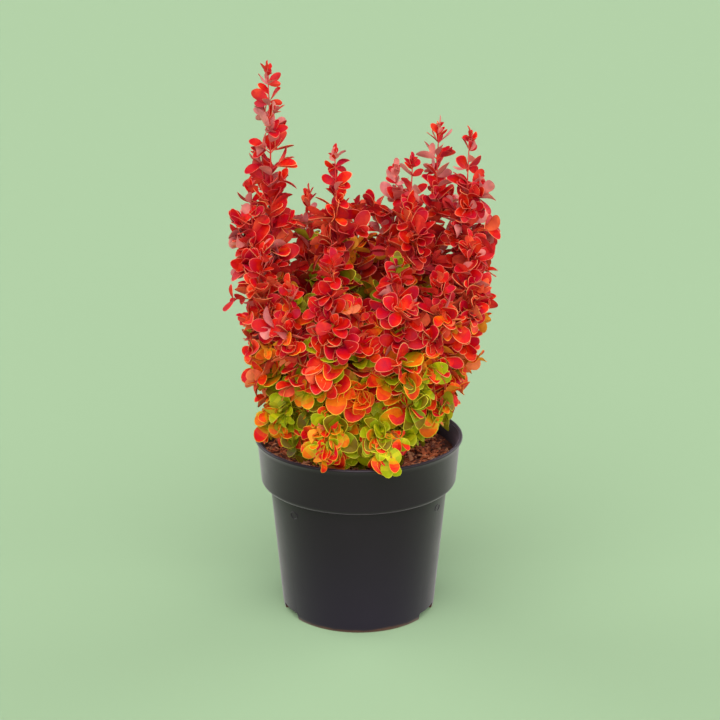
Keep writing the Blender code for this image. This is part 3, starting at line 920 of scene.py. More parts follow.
@dataclass
class Room:
    """The room that the foliage has, between other shoots, the limbs and the pot.

    Attributes:
        plan: The curves of limbs and shoots.
        wall: Radius and height of points up the pot's inner wall.
        crown: How far the solids reach at each height.
        dressed: How far the leaves of life size reach at each height.
        crown_middle: Where the solids' middle lies along X.
        dressed_middle: Where the leaves' middle lies along X at each height.
    """

    plan: PlantPlan
    wall: list[Pair]
    crown: tuple[Pair, ...] = (
        (0.150, 0.112), (0.190, 0.111), (0.218, 0.105), (0.246, 0.108), (0.275, 0.112),
        (0.300, 0.117), (0.350, 0.124), (0.400, 0.117), (0.510, 0.112))
    dressed: tuple[Pair, ...] = (
        (0.150, 0.117), (0.172, 0.115), (0.185, 0.101), (0.199, 0.096), (0.218, 0.100),
        (0.237, 0.107), (0.265, 0.114), (0.300, 0.121), (0.350, 0.126), (0.400, 0.119),
        (0.510, 0.115))
    crown_middle: float = 0.004
    dressed_middle: tuple[Pair, ...] = ((0.215, -0.007), (0.255, 0.004))
    margin: float = 0.0007
    limb_clear: float = 0.0012
    limb_radius: float = 0.0024
    rim_clear: float = 0.0015
    rim_outside: float = 0.095
    rim_inside: float = 0.0918
    rim_height: float = 0.167
    trunk_height: float = 0.020
    trunk_radius: float = 0.017

    def __post_init__(self) -> None:
        """Hold the stems' runs as segments, with the shoot that each belongs to."""
        count = self.plan.rule_points
        axes = [curve.points(count) for curve in self.plan.axes]
        limbs = [curve.points(count) for curve in self.plan.limbs]
        self.starts = np.array([p for axis in axes for p in axis[:-1]])
        self.ends = np.array([p for axis in axes for p in axis[1:]])
        self.owners = np.repeat(np.arange(len(axes)), count - 1)
        self.limb_starts = np.array([p for limb in limbs for p in limb[:-1]])
        self.limb_ends = np.array([p for limb in limbs for p in limb[1:]])

    def in_crown(self, points: np.ndarray) -> bool:
        """Tell whether all points lie in the solids' outline."""
        reach = np.hypot(points[:, 0] - self.crown_middle, points[:, 1])
        room = np.interp(points[:, 2], *zip(*self.crown))
        return not np.any(reach > room)

    def in_leaves(self, points: np.ndarray, proud: float) -> bool:
        """Tell whether all points lie in the leaves' outline, or no prouder than allowed."""
        middle = np.interp(points[:, 2], *zip(*self.dressed_middle))
        reach = np.hypot(points[:, 0] - middle, points[:, 1])
        room = np.interp(points[:, 2], *zip(*self.dressed))
        return not np.any(reach > room + proud)

    def clear_of_pot(self, points: np.ndarray, clearance: float) -> bool:
        """Tell whether all points are clear of the pot, the soil and the trunk."""
        reach = np.hypot(points[:, 0], points[:, 1])
        height = points[:, 2]
        if np.any((height < self.plan.soil_top + clearance) & (reach < self.rim_outside)):
            return False
        inner = np.interp(height, [w[1] for w in self.wall], [w[0] for w in self.wall])
        inner = np.minimum(inner, self.rim_inside)
        beside = height < self.rim_height + self.rim_clear
        inside = reach < inner - self.rim_clear - clearance
        outside = reach > self.rim_outside + self.rim_clear + clearance
        if np.any(beside & ~inside & ~outside):
            return False
        low = height < self.plan.soil_top + self.trunk_height + 2.0 * clearance
        return not np.any(low & (reach < self.trunk_radius + clearance))

    def holds(self, owner: int, points: Sequence[Vector], clearance: float) -> bool:
        """Tell whether all points keep to a shoot's own space by a clearance.

        Args:
            owner: Number of the shoot.
            points: The points to test.
            clearance: Room to keep round them.

        Returns:
            True where there is room.
        """
        places = np.array(points)
        table = segment_distances(places, self.starts, self.ends)
        own = table[:, self.owners == owner].min(1)
        other = table[:, self.owners != owner].min(1)
        if np.any(own + 2.0 * (self.margin + clearance) > other):
            return False
        limbs = segment_distances(places, self.limb_starts, self.limb_ends)
        if limbs.min() < self.limb_radius + self.limb_clear + clearance:
            return False
        return self.in_crown(places) and self.clear_of_pot(places, clearance)


@dataclass(frozen=True)
class LeafPlace:
    """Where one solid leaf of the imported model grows.

    Attributes:
        base: Its foot on the stem.
        heading: Where it points.
        face: Where its upper side faces.
        length: Its length.
        along_axis: How far up the shoot's main stem it grows, from 0 to 1.
        from_tip: Distance from the shoot's tip along the main stem.
    """

    base: Vector
    heading: Vector
    face: Vector
    length: float
    along_axis: float
    from_tip: float


@dataclass(frozen=True)
class TwigPlace:
    """Where one side twig grows: its foot, its tip and its place along the main stem."""

    foot: Vector
    tip: Vector
    along_axis: float
    from_tip: float


@dataclass
class SolidGrowth:
    """Twigs and leaves of one mass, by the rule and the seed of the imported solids.

    Attributes:
        shoot: The shoot.
        number: Its number, which seeds its growth.
        axis: Points of its main stem.
        room: The room that it has.
    """

    shoot: Shoot
    number: int
    axis: list[Vector]
    room: Room
    leaf_length: float = 0.034
    width_share: float = 0.60
    thickness_share: float = 0.05
    sides: int = 5
    middle: float = 0.55
    sunk: float = 0.0003
    tries: tuple[float, ...] = (1.0, 0.8, 0.62)
    blade_share: float = 0.9
    golden_turn: float = 137.5
    foot_clear: float = 0.012
    first_node: float = 0.006
    upper_step: float = 0.0150
    lower_step: float = 0.0135
    full_leaf_at: float = 0.070
    leaf_spread: float = 54.0
    leaf_wander: float = 9.0
    pair_wander: float = 14.0
    twig_spread: float = 60.0
    twig_wander: float = 10.0
    twig_turn: Pair = (10.0, 80.0)
    twig_size: Pair = (0.32, 0.52)
    twig_tested: tuple[float, ...] = (0.3, 0.65, 1.0)
    twig_leaves: tuple[float, ...] = (0.85, 0.6)
    twig_leaf_turn: Pair = (50.0, 130.0)
    twig_radius: float = 0.0010
    outward_face: float = 0.7
    face_wander: float = 0.5
    twigs: list[TwigPlace] = field(default_factory=list)
    leaves: list[LeafPlace] = field(default_factory=list)

    def __post_init__(self) -> None:
        """Seed the growth and measure the main stem."""
        self.random = random.Random(self.number + 1)
        self.trees: list[BVHTree] = []
        self.total = route_length(self.axis)

    def outline(self, base: Vector, heading: Vector, face: Vector, length: float) -> list[Vector]:
        """Corners of a solid leaf, and the middle of its upper and its lower side."""
        side = face.cross(heading).normalized()
        width = length * self.width_share
        corners = []
        for k in range(self.sides):
            angle = 2.0 * math.pi * k / self.sides
            run = length * math.sqrt((1.0 - math.cos(angle)) / 2.0)
            corners.append(base + heading * run + side * (width / 2.0) * math.sin(angle))
        middle = base + heading * length * self.middle
        thick = face * length * self.thickness_share / 2.0
        return corners + [middle + thick, middle - thick]

    def leaf_size(self, from_tip: float) -> float:
        """Leaves grow longer away from the shoot's tip."""
        share = min(1.0, from_tip / self.full_leaf_at)
        return self.shoot.tip_leaf + (self.leaf_length - self.shoot.tip_leaf) * share

    def add_leaf(self, point: Vector, heading: Vector, stem_heading: Vector, length: float,
                 distance: float) -> bool:
        """Add a leaf at the largest size that has room.

        Args:
            point: Foot of the leaf.
            heading: Where it points.
            stem_heading: Where its stem points.
            length: Its full length.
            distance: Distance along the main stem.

        Returns:
            True where a size had room.
        """
        wander = Vector([self.random.uniform(-1.0, 1.0) for _ in range(3)])
        guide = stem_heading * (1.0 - self.outward_face) + outward(point) * self.outward_face
        face = square_to(heading, guide + wander * self.face_wander)
        for size in self.tries:
            outline = self.outline(point - heading * self.sunk, heading, face, length * size)
            middle = (outline[-1] + outline[-2]) / 2.0
            between = [(corner + middle) / 2.0 for corner in outline[1:self.sides]]
            blade = [middle + (corner - middle) * self.blade_share
                     for corner in outline[:self.sides]]
            tree = BVHTree.FromPolygons(blade, [tuple(range(self.sides))])
            if any(tree.overlap(other) for other in self.trees):
                continue
            if self.room.holds(self.number, outline[1:] + between, 0.0):
                self.leaves.append(LeafPlace(point, heading, face, length * size,
                                             distance / self.total, self.total - distance))
                self.trees.append(tree)
                return True
        return False

    def add_whorl(self, distance: float, turn: float, length: float) -> None:
        """Add a pair of leaves at one node of the stem."""
        point, heading = along(self.axis, distance)
        for k in range(2):
            spread = self.leaf_spread + self.random.uniform(-self.leaf_wander, self.leaf_wander)
            around = turn + 180.0 * k + self.random.uniform(-self.pair_wander, self.pair_wander)
            self.add_leaf(point, fan(point, heading, around, spread), heading, length, distance)

    def add_twig(self, distance: float, turn: float, length: float) -> bool:
        """Add a side twig with a leaf at its tip and a pair at its sides.

        Args:
            distance: Distance of its foot along the main stem.
            turn: Turn from the outward side in degrees.
            length: Full length of its leaves.

        Returns:
            True where it had room.
        """
        point, heading = along(self.axis, distance)
        spread = self.twig_spread + self.random.uniform(-self.twig_wander, self.twig_wander)
        aim = fan(point, heading, turn, spread)
        size = self.shoot.girth * self.random.uniform(*self.twig_size)
        around = self.random.uniform(*self.twig_leaf_turn)
        tip = point + aim * size
        steps = [point + (tip - point) * share for share in self.twig_tested]
        if not self.room.holds(self.number, steps, self.twig_radius):
            return False
        if not self.add_leaf(tip, aim, heading, length, distance):
            return False
        self.twigs.append(TwigPlace(point, tip, distance / self.total, self.total - distance))
        for k, share in enumerate(self.twig_leaves):
            off = fan(point, aim, around + 180.0 * k, self.leaf_spread)
            self.add_leaf(point + (tip - point) * share, off, aim, length, distance)
        return True

    def grow(self) -> None:
        """Walk down the stem from its tip and add what grows at each node."""
        tip, heading = along(self.axis, self.total)
        self.add_leaf(tip, heading, heading, self.leaf_size(0.0), self.total)
        turn = self.random.uniform(0.0, 360.0)
        side = 1.0
        from_tip = self.first_node
        while self.total - from_tip > self.foot_clear:
            turn += self.golden_turn
            length = self.leaf_size(from_tip)
            if from_tip < self.shoot.spire:
                self.add_whorl(self.total - from_tip, turn, length)
                from_tip += self.upper_step
                continue
            side = -side
            twig_turn = side * self.random.uniform(*self.twig_turn)
            if not self.add_twig(self.total - from_tip, twig_turn, length):
                self.add_whorl(self.total - from_tip, turn, length)
            from_tip += self.lower_step


# Leaves of life size and fine twigs


@dataclass(frozen=True)
class Leaf:
    """One leaf of life size.

    Attributes:
        base: Its foot.
        heading: Where it points.
        face: Where its upper side faces.
        length: Its length.
        tint: Its autumn tint.
    """

    base: Vector
    heading: Vector
    face: Vector
    length: float
    tint: Tint


@dataclass(frozen=True)
class Strand:
    """One thin stem: the points that it follows and its radius at each end."""

    route: list[Vector]
    foot_radius: float
    tip_radius: float

    def radii(self) -> list[float]:
        """Radius at each of its points."""
        last = len(self.route) - 1
        return [self.foot_radius + (self.tip_radius - self.foot_radius) * k / last
                for k in range(last + 1)]


@dataclass(frozen=True)
class TintRule:
    """Deals tints by height and by depth in the crown. The darker inner tints of the upper crown
    are painted shade.

    Attributes:
        room: The crown's outline.
        inside: Share of the crown's reach below which only inner tints are dealt.
        outside: Share beyond which only outer tints are dealt.
    """

    room: Room
    inside: float = 0.40
    outside: float = 0.72

    def deal(self, chance: random.Random, point: Vector) -> Tint:
        """Deal the tint of a spray.

        Args:
            chance: The mass's own stream of chance.
            point: Place of the spray.

        Returns:
            The tint.
        """
        heights = [band.height for band in TINT_BANDS]
        step = float(np.interp(point.z, heights, range(len(heights))))
        lower = min(int(step), len(heights) - 2)
        band = TINT_BANDS[lower + (chance.random() < step - lower)]
        crown = self.room.crown
        room = float(np.interp(point.z, [c[0] for c in crown], [c[1] for c in crown]))
        reach = math.hypot(point.x - self.room.crown_middle, point.y) / room
        share = (reach - self.inside) / (self.outside - self.inside)
        # Deep in the crown the inner weights are dealt; in the upper crown their darker wine is
        # painted shade.
        weights = band.outer if chance.random() < share else band.inner
        return chance.choices(list(weights), list(weights.values()))[0]


@dataclass
class FineGrowth:
    """Carries one mass on to its fine twigs and its leaves of life size.

    Pairs of sizes are a least and a most, or the foot's and the tip's. Sizes of leaves are
    shares of the length at their place.

    Attributes:
        solid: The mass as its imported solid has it.
        curve: The smooth run of its main stem.
        tints: How tints are dealt.
        lowest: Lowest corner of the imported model's box.
        highest: Highest corner of that box.
    """

    solid: SolidGrowth
    curve: Bend
    tints: TintRule
    lowest: Vector
    highest: Vector
    seed: int = 1000
    half_width: float = 0.3
    widest: float = 0.55
    hung_out: float = 0.8
    hung_up: float = 0.4
    fan_size: Pair = (0.62, 1.06)
    end_size: Pair = (0.50, 0.92)
    end_face: tuple[float, float, float] = (0.5, 0.3, 0.2)
    spur_leaf: float = 1.15
    spur_room: float = 0.95
    spur_second: float = 0.7
    spur_second_spread: float = 48.0
    spur_least: float = 0.001
    spur_shown: float = 0.002
    spur_broad: float = 0.029
    spur_radii: Pair = (0.0006, 0.0004)
    twig_sway: float = 0.12
    twig_points: int = 5
    twig_radii: Pair = (0.0009, 0.0005)
    twig_rosettes: Pair = (0.38, 0.72)
    twig_leaf: float = 0.92
    bunch_at: float = 0.2
    bunch_size: float = 1.30
    top_turns: Pair = (60.0, 240.0)
    top_wander: float = 40.0
    top_spread: float = 38.0
    top_back: Pair = (0.001, 0.002)
    top_size: float = 0.8
    fill_pace: Pair = (0.8, 1.2)
    fill_spread: Pair = (45.0, 78.0)
    fill_drop: float = 0.6
    fill_rise: Pair = (0.001, 0.004)
    fill_radii: Pair = (0.0007, 0.0004)
    fill_size: Pair = (0.76, 1.0)
    fill_second: float = 0.9
    first_node: float = 0.6
    node_wander: Pair = (0.85, 1.15)
    stem_radii: Pair = (0.0015, 0.0004)
    low_span: Pair = (0.22, 1.0)
    low_side: float = 0.35
    crowded: float = 1.1
    route_points: int = 25
    full_leaf: Pair = (0.0262, 0.0230)
    full_between: Pair = (0.20, 0.30)
    tip_share: float = 0.66
    size_wander: Pair = (0.80, 1.12)
    full_at: float = 0.030
    full_at_spire: float = 0.30
    sizes: tuple[float, ...] = (1.0, 0.82, 0.66)
    node_step: float = 0.0098
    spur_from: float = 0.024
    spur_share: float = 0.75
    beyond: float = 0.003
    face_wander: float = 0.70
    up_share: float = 0.25
    hang_below: Pair = (0.215, 0.300)
    hang: float = 0.60
    hang_face: float = 0.75
    steep_above: Pair = (0.31, 0.40)
    least_spread: Pair = (32.0, 26.0)
    most_spread: Pair = (74.0, 58.0)
    end_spread: Pair = (8.0, 40.0)
    turn_wander: float = 34.0
    foot_clear: float = 0.016
    keep_tint: float = 0.66
    tip_run: float = 0.45
    bare_share: float = 0.85
    rooted: float = 0.0025
    proud: float = 0.007
    proud_share: float = 0.35
    run: float = 0.0042
    front_droop: float = 0.9
    shoot_fill: tuple[float, float, float] = (0.0095, 0.010, 0.028)
    low_fill: tuple[float, float, float] = (0.0060, 0.010, 0.030)
    limb_fill: tuple[float, float, float] = (0.008, 0.008, 0.024)
    leaves: list[Leaf] = field(default_factory=list)
    strands: list[Strand] = field(default_factory=list)

    def __post_init__(self) -> None:
        """Seed the growth and lay out the smooth main stem."""
        self.random = random.Random(self.seed + self.solid.number)
        self.route = self.curve.points(self.route_points)
        self.total = route_length(self.route)

    def shift(self, share: float) -> Vector:
        """How far the smooth stem runs beside the solid's stem at a share of its length."""
        smooth_place, _ = along(self.route, self.total * share)
        solid_place, _ = along(self.solid.axis, self.solid.total * share)
        return smooth_place - solid_place

    def spread(self, point: Vector) -> float:
        """Angle at which a leaf leaves its stem, steeper in the spires."""
        least = float(np.interp(point.z, self.steep_above, self.least_spread))
        most = float(np.interp(point.z, self.steep_above, self.most_spread))
        return self.random.uniform(least, most)

    def hung(self, point: Vector, aim: Vector, guide: Vector) -> tuple[Vector, Vector]:
        """Let a low leaf hang.

        Args:
            point: Its foot.
            aim: Where it would point.
            guide: About where its upper side would face.

        Returns:
            Where it points, and about where its upper side faces.
        """
        share = float(np.interp(point.z, self.hang_below, (1.0, 0.0)))
        facing = outward(point) * self.hung_out + UP * self.hung_up
        aim = (aim - UP * self.hang * share).normalized()
        return aim, guide.lerp(facing, self.hang_face * share)

    def upward(self, heading: Vector) -> Vector:
        """Where leaves round a heading face: along it and up."""
        return heading * (1.0 - self.up_share) + UP * self.up_share

    def around(self, turn: float, number: int, count: int) -> float:
        """Turn of one of several leaves round a stem."""
        wander = self.random.uniform(-self.turn_wander, self.turn_wander)
        return turn + 360.0 * number / count + wander

    def leaf_length(self, point: Vector, from_tip: float) -> float:
        """Length of a leaf at a place and a distance from the shoot's tip."""
        full_at = self.full_at + self.full_at_spire * self.solid.shoot.spire
        full = float(np.interp(point.z, self.full_between, self.full_leaf))
        tip = self.solid.shoot.tip_leaf * self.tip_share
        share = min(1.0, from_tip / full_at)
        return (tip + (full - tip) * share) * self.random.uniform(*self.size_wander)

    def fits(self, corners: np.ndarray, proud: float = 0.0) -> bool:
        """Tell whether a leaf's corners keep to the crown and the model's box."""
        if np.any(corners < np.array(self.lowest) - self.beyond):
            return False
        if np.any(corners > np.array(self.highest) + self.beyond * np.array((1.0, 1.0, 0.0))):
            return False
        room = self.solid.room
        return room.in_leaves(corners, proud) and room.clear_of_pot(corners, 0.0)

    def add_leaf(self, base: Vector, heading: Vector, guide: Vector, length: float,
                 tint: Tint) -> None:
        """Add a leaf at the largest size that keeps clear of the pot and in the crown.

        Args:
            base: Its foot.
            heading: Where it points.
            guide: About where its upper side faces.
            length: Its full length.
            tint: Its tint.
        """
        wander = Vector([self.random.uniform(-1.0, 1.0) for _ in range(3)]) * self.face_wander
        face = square_to(heading, guide + wander)
        proud = self.proud if self.random.random() < self.proud_share else 0.0
        for size in self.sizes:
            reach = length * size
            side = face.cross(heading) * reach * self.half_width
            middle = base + heading * reach * self.widest
            corners = np.array([base + heading * reach, middle + side, middle - side, middle])
            if self.fits(corners, proud):
                self.leaves.append(Leaf(base, heading, face, reach, tint))
                return

    def add_rosette(self, centre: Vector, heading: Vector, count: int, length: float,
                    tint: Tint, run: float) -> None:
        """Add leaves that fan out round a heading, and two near its end.

        Args:
            centre: End of the stem that they grow on.
            heading: The heading of that stem.
            count: Number of leaves that fan out.
            length: Their length.
            tint: Tint of most of them.
            run: Length of stem over which their feet lie.
        """
        turn = self.random.uniform(0.0, 360.0)
        guide = self.upward(heading)
        for k in range(count):
            around = self.around(turn, k, count)
            foot = centre - heading * run * self.random.random()
            aim = fan(foot, heading, around, self.spread(foot))
            aim, facing = self.hung(foot, aim, guide)
            self.add_leaf(foot, aim, facing, length * self.random.uniform(*self.fan_size), tint)
        for _ in range(2):
            aim = fan(centre, heading, self.random.uniform(0.0, 360.0),
                      self.random.uniform(*self.end_spread))
            out, up, ahead = self.end_face
            guide = outward(centre) * out + UP * up + heading * ahead
            self.add_leaf(centre, aim, guide, length * self.random.uniform(*self.end_size), tint)

    def near_tint(self, tint: Tint, point: Vector) -> Tint:
        """A spray's tint, or now and then a new one."""
        if self.random.random() < self.keep_tint:
            return tint
        return self.tints.deal(self.random, point)

    def add_spur(self, place: LeafPlace, tint: Tint) -> None:
        """Grow what a solid leaf stands for: a spur with a rosette, or a single leaf."""
        base = place.base + self.shift(place.along_axis)
        length = self.leaf_length(base, place.from_tip)
        if place.length < self.spur_from:
            size = min(place.length, length * self.spur_leaf)
            self.add_leaf(base, place.heading, place.face, size, tint)
            aim = fan(base, place.heading, self.random.uniform(0.0, 360.0),
                      self.spur_second_spread)
            self.add_leaf(base, aim, place.face, size * self.spur_second, tint)
            return
        reach = self.spur_share * (place.length - length * self.spur_room)
        end = base + place.heading * max(self.spur_least, reach)
        if reach > self.spur_shown:
            self.strands.append(Strand([base, (base + end) / 2.0, end], *self.spur_radii))
        count = 4 if place.length > self.spur_broad else 3
        self.add_rosette(end, place.heading, count, length, tint, min(self.run, max(0.0, reach)))

    def add_twig(self, twig: TwigPlace) -> None:
        """Grow one side twig with rosettes along it."""
        shift = self.shift(twig.along_axis)
        foot = twig.foot + shift
        tip = twig.tip + shift
        _, stem = along(self.route, self.total * twig.along_axis)
        sway = stem * (tip - foot).length * self.twig_sway
        middle = (foot + tip) / 2.0 + sway
        bend = Bend(foot, (foot + middle) / 2.0, (middle + tip) / 2.0, tip)
        route = bend.points(self.twig_points)
        self.strands.append(Strand(route, *self.twig_radii))
        tint = self.tints.deal(self.random, tip)
        for share in self.twig_rosettes:
            place, heading = along(route, route_length(route) * share)
            length = self.leaf_length(place, twig.from_tip) * self.twig_leaf
            self.add_rosette(place, heading, 2, length, self.near_tint(tint, place), self.run)

    def add_tip(self) -> list[Vector]:
        """Run the shoot on into a bunch of its smallest leaves.

        Returns:
            The points that run on from its tip.
        """
        tip, heading = along(self.route, self.total)
        reach = self.solid.shoot.tip_leaf * self.tip_run
        tint = self.tints.deal(self.random, tip)
        length = self.solid.shoot.tip_leaf - reach
        end = tip + heading * reach
        bunch = tip + heading * reach * self.bunch_at
        self.add_rosette(bunch, heading, 3, length * self.bunch_size, tint, 0.0)
        self.add_leaf(end - heading * self.top_back[0], heading, outward(tip), length, tint)
        for turn in self.top_turns:
            around = turn + self.random.uniform(-self.top_wander, self.top_wander)
            aim = fan(end, heading, around, self.top_spread)
            foot = end - heading * self.top_back[1]
            self.add_leaf(foot, aim, heading, length * self.top_size, tint)
        return [tip + heading * reach * 0.5, end]

    def add_fill(self, route: Sequence[Vector], span: Pair,
                 pace: tuple[float, float, float], droop: float = 0.0) -> None:
        """Grow short twigs with rosettes along a run of stem.

        Args:
            route: Points of the stem.
            span: Shares of its length between which they grow.
            pace: Distance between them, and the least and most length.
            droop: How much they hang outwards and down.
        """
        total = route_length(route)
        distance = total * span[0]
        turn = self.random.uniform(0.0, 360.0)
        while distance < total * span[1]:
            point, heading = along(route, distance)
            turn += self.solid.golden_turn
            distance += pace[0] * self.random.uniform(*self.fill_pace)
            aim = fan(point, heading, turn, self.random.uniform(*self.fill_spread))
            aim = (aim + (outward(point) - UP * self.fill_drop) * droop).normalized()
            tip = point + aim * self.random.uniform(pace[1], pace[2])
            rise = self.fill_rise[0] + self.fill_rise[1] * droop
            middle = (point + tip) / 2.0 + UP * rise
            if not self.fits(np.array([tip, (tip + middle) / 2.0, middle, (point + middle) / 2.0])):
                continue
            self.strands.append(Strand([point, middle, tip], *self.fill_radii))
            tint = self.tints.deal(self.random, tip)
            length = self.leaf_length(tip, 1.0) * self.random.uniform(*self.fill_size)
            end = (tip - middle).normalized()
            self.add_rosette(tip, end, 3, length, tint, self.run)
            second = self.near_tint(tint, middle)
            self.add_rosette(middle, end, 1, length * self.fill_second, second, 0.0)

    def grow(self) -> None:
        """Grow the mass from its main stem to its last leaf."""
        root = self.route[0] + (self.route[0] - self.route[1]).normalized() * self.rooted
        self.strands.append(Strand([root] + self.route + self.add_tip(), *self.stem_radii))
        turn = self.random.uniform(0.0, 360.0)
        from_tip = self.node_step * self.first_node
        while self.total - from_tip > self.foot_clear:
            point, heading = along(self.route, self.total - from_tip)
            tint = self.tints.deal(self.random, point)
            length = self.leaf_length(point, from_tip)
            guide = self.upward(heading)
            turn += self.solid.golden_turn
            count = 1 if from_tip < self.solid.shoot.spire * self.bare_share else 3
            for k in range(count):
                around = self.around(turn, k, count)
                aim = fan(point, heading, around, self.spread(point))
                aim, facing = self.hung(point, aim, guide)
                self.add_leaf(point, aim, facing, length, tint)
            from_tip += self.node_step * self.random.uniform(*self.node_wander)
        for twig in self.solid.twigs:
            self.add_twig(twig)
        for place in self.solid.leaves:
            end = place.base + place.heading * place.length
            self.add_spur(place, self.tints.deal(self.random, end))
        if self.solid.shoot.name.startswith("low_"):
            aside = outward(self.solid.shoot.tip())
            droop = self.front_droop * max(0.0, -aside.y) if aside.x < self.low_side else 0.0
            self.add_fill(self.route, self.low_span, self.low_fill, droop)
        else:
            bare = self.solid.shoot.spire * self.crowded / self.total
            self.add_fill(self.route, (0.0, 1.0 - bare), self.shoot_fill)


# Finishes


Inputs = dict[str | int, object]


@dataclass
class Bench:
    """Adds nodes to one node tree and links them.

    Attributes:
        tree: The node tree.
    """

    tree: NodeTree

    def feed(self, node: Node, inputs: Inputs) -> None:
        """Link or set inputs of a node.

        Args:
            node: The node.
            inputs: Values or sockets for its inputs.
        """
        for name, value in inputs.items():
            if isinstance(value, NodeSocket):
                self.tree.links.new(value, node.inputs[name])
            else:
                node.inputs[name].default_value = value

    def node(self, kind: str, inputs: Inputs | None = None, **settings: object) -> Node:
        """Add a node.

        Args:
            kind: Its type.
            inputs: Values or sockets for its inputs.
            settings: Values for its own settings.

        Returns:
            The node.
        """
        made = self.tree.nodes.new(kind)
        for name, value in settings.items():
            setattr(made, name, value)
        self.feed(made, inputs or {})
        return made

    def place(self) -> NodeSocket:
        """The object's own coordinates, from one node in each tree."""
        made = self.tree.nodes.get("Texture Coordinate") or self.node("ShaderNodeTexCoord")
        return made.outputs["Object"]

    def height(self) -> NodeSocket:
        """The height above the floor."""
        return self.node("ShaderNodeSeparateXYZ", {"Vector": self.place()}).outputs["Z"]

    def noise(self, scale: object, detail: float, roughness: float = 0.5,
              place: NodeSocket | None = None) -> NodeSocket:
        """Add noise over the object's own coordinates or over others.

        Args:
            scale: How fine it is, as a value or a socket.
            detail: How many layers it has.
            roughness: How strong its finer layers are.
            place: Other coordinates.

        Returns:
            Its strength.
        """
        inputs = {"Vector": self.place() if place is None else place, "Scale": scale,
                  "Detail": detail, "Roughness": roughness}
        return self.node("ShaderNodeTexNoise", inputs).outputs["Fac"]

    def fit(self, source: NodeSocket, given: Pair,
            wanted: tuple[object, object] = (0.0, 1.0)) -> NodeSocket:
        """Map one range of values to another."""
        inputs = {"Value": source, "From Min": given[0], "From Max": given[1],
                  "To Min": wanted[0], "To Max": wanted[1]}
        return self.node("ShaderNodeMapRange", inputs).outputs[0]

    def sum(self, operation: str, first: object, second: object) -> NodeSocket:
        """The result of a sum of two values or sockets."""
        return self.node("ShaderNodeMath", {0: first, 1: second}, operation=operation).outputs[0]

    def ramp(self, source: NodeSocket, stops: Sequence[tuple[float, Shade]]) -> NodeSocket:
        """Add a colour ramp with its stops.

        Args:
            source: What it reads.
            stops: Place and display colour of each stop.

        Returns:
            Its colour.
        """
        made = self.node("ShaderNodeValToRGB", {"Fac": source})
        line = made.color_ramp
        for element, (place, shade) in zip(line.elements, (stops[0], stops[-1])):
            element.position, element.color = place, linear(*shade)
        for place, shade in stops[1:-1]:
            line.elements.new(place).color = linear(*shade)
        return made.outputs["Color"]

    def relief(self, shader: Node, height: NodeSocket, strength: float, depth: float) -> None:
        """Give a shader's surface relief by a height."""
        bump = self.node("ShaderNodeBump", {"Strength": strength, "Distance": depth,
                                            "Height": height})
        self.feed(shader, {"Normal": bump.outputs["Normal"]})


def new_group(name: str, inputs: Sequence[tuple[str, str]],
              outputs: Sequence[tuple[str, str]]) -> tuple[NodeTree, Bench]:
    """Make a node group with its sockets.

    Args:
        name: Name of the group.
        inputs: Name and kind of each input.
        outputs: Name and kind of each output.

    Returns:
        The group and a bench for it.
    """
    group = bpy.data.node_groups.new(name, "ShaderNodeTree")
    for way, sockets in (("INPUT", inputs), ("OUTPUT", outputs)):
        for title, kind in sockets:
            group.interface.new_socket(name=title, in_out=way, socket_type=kind)
    return group, Bench(group)


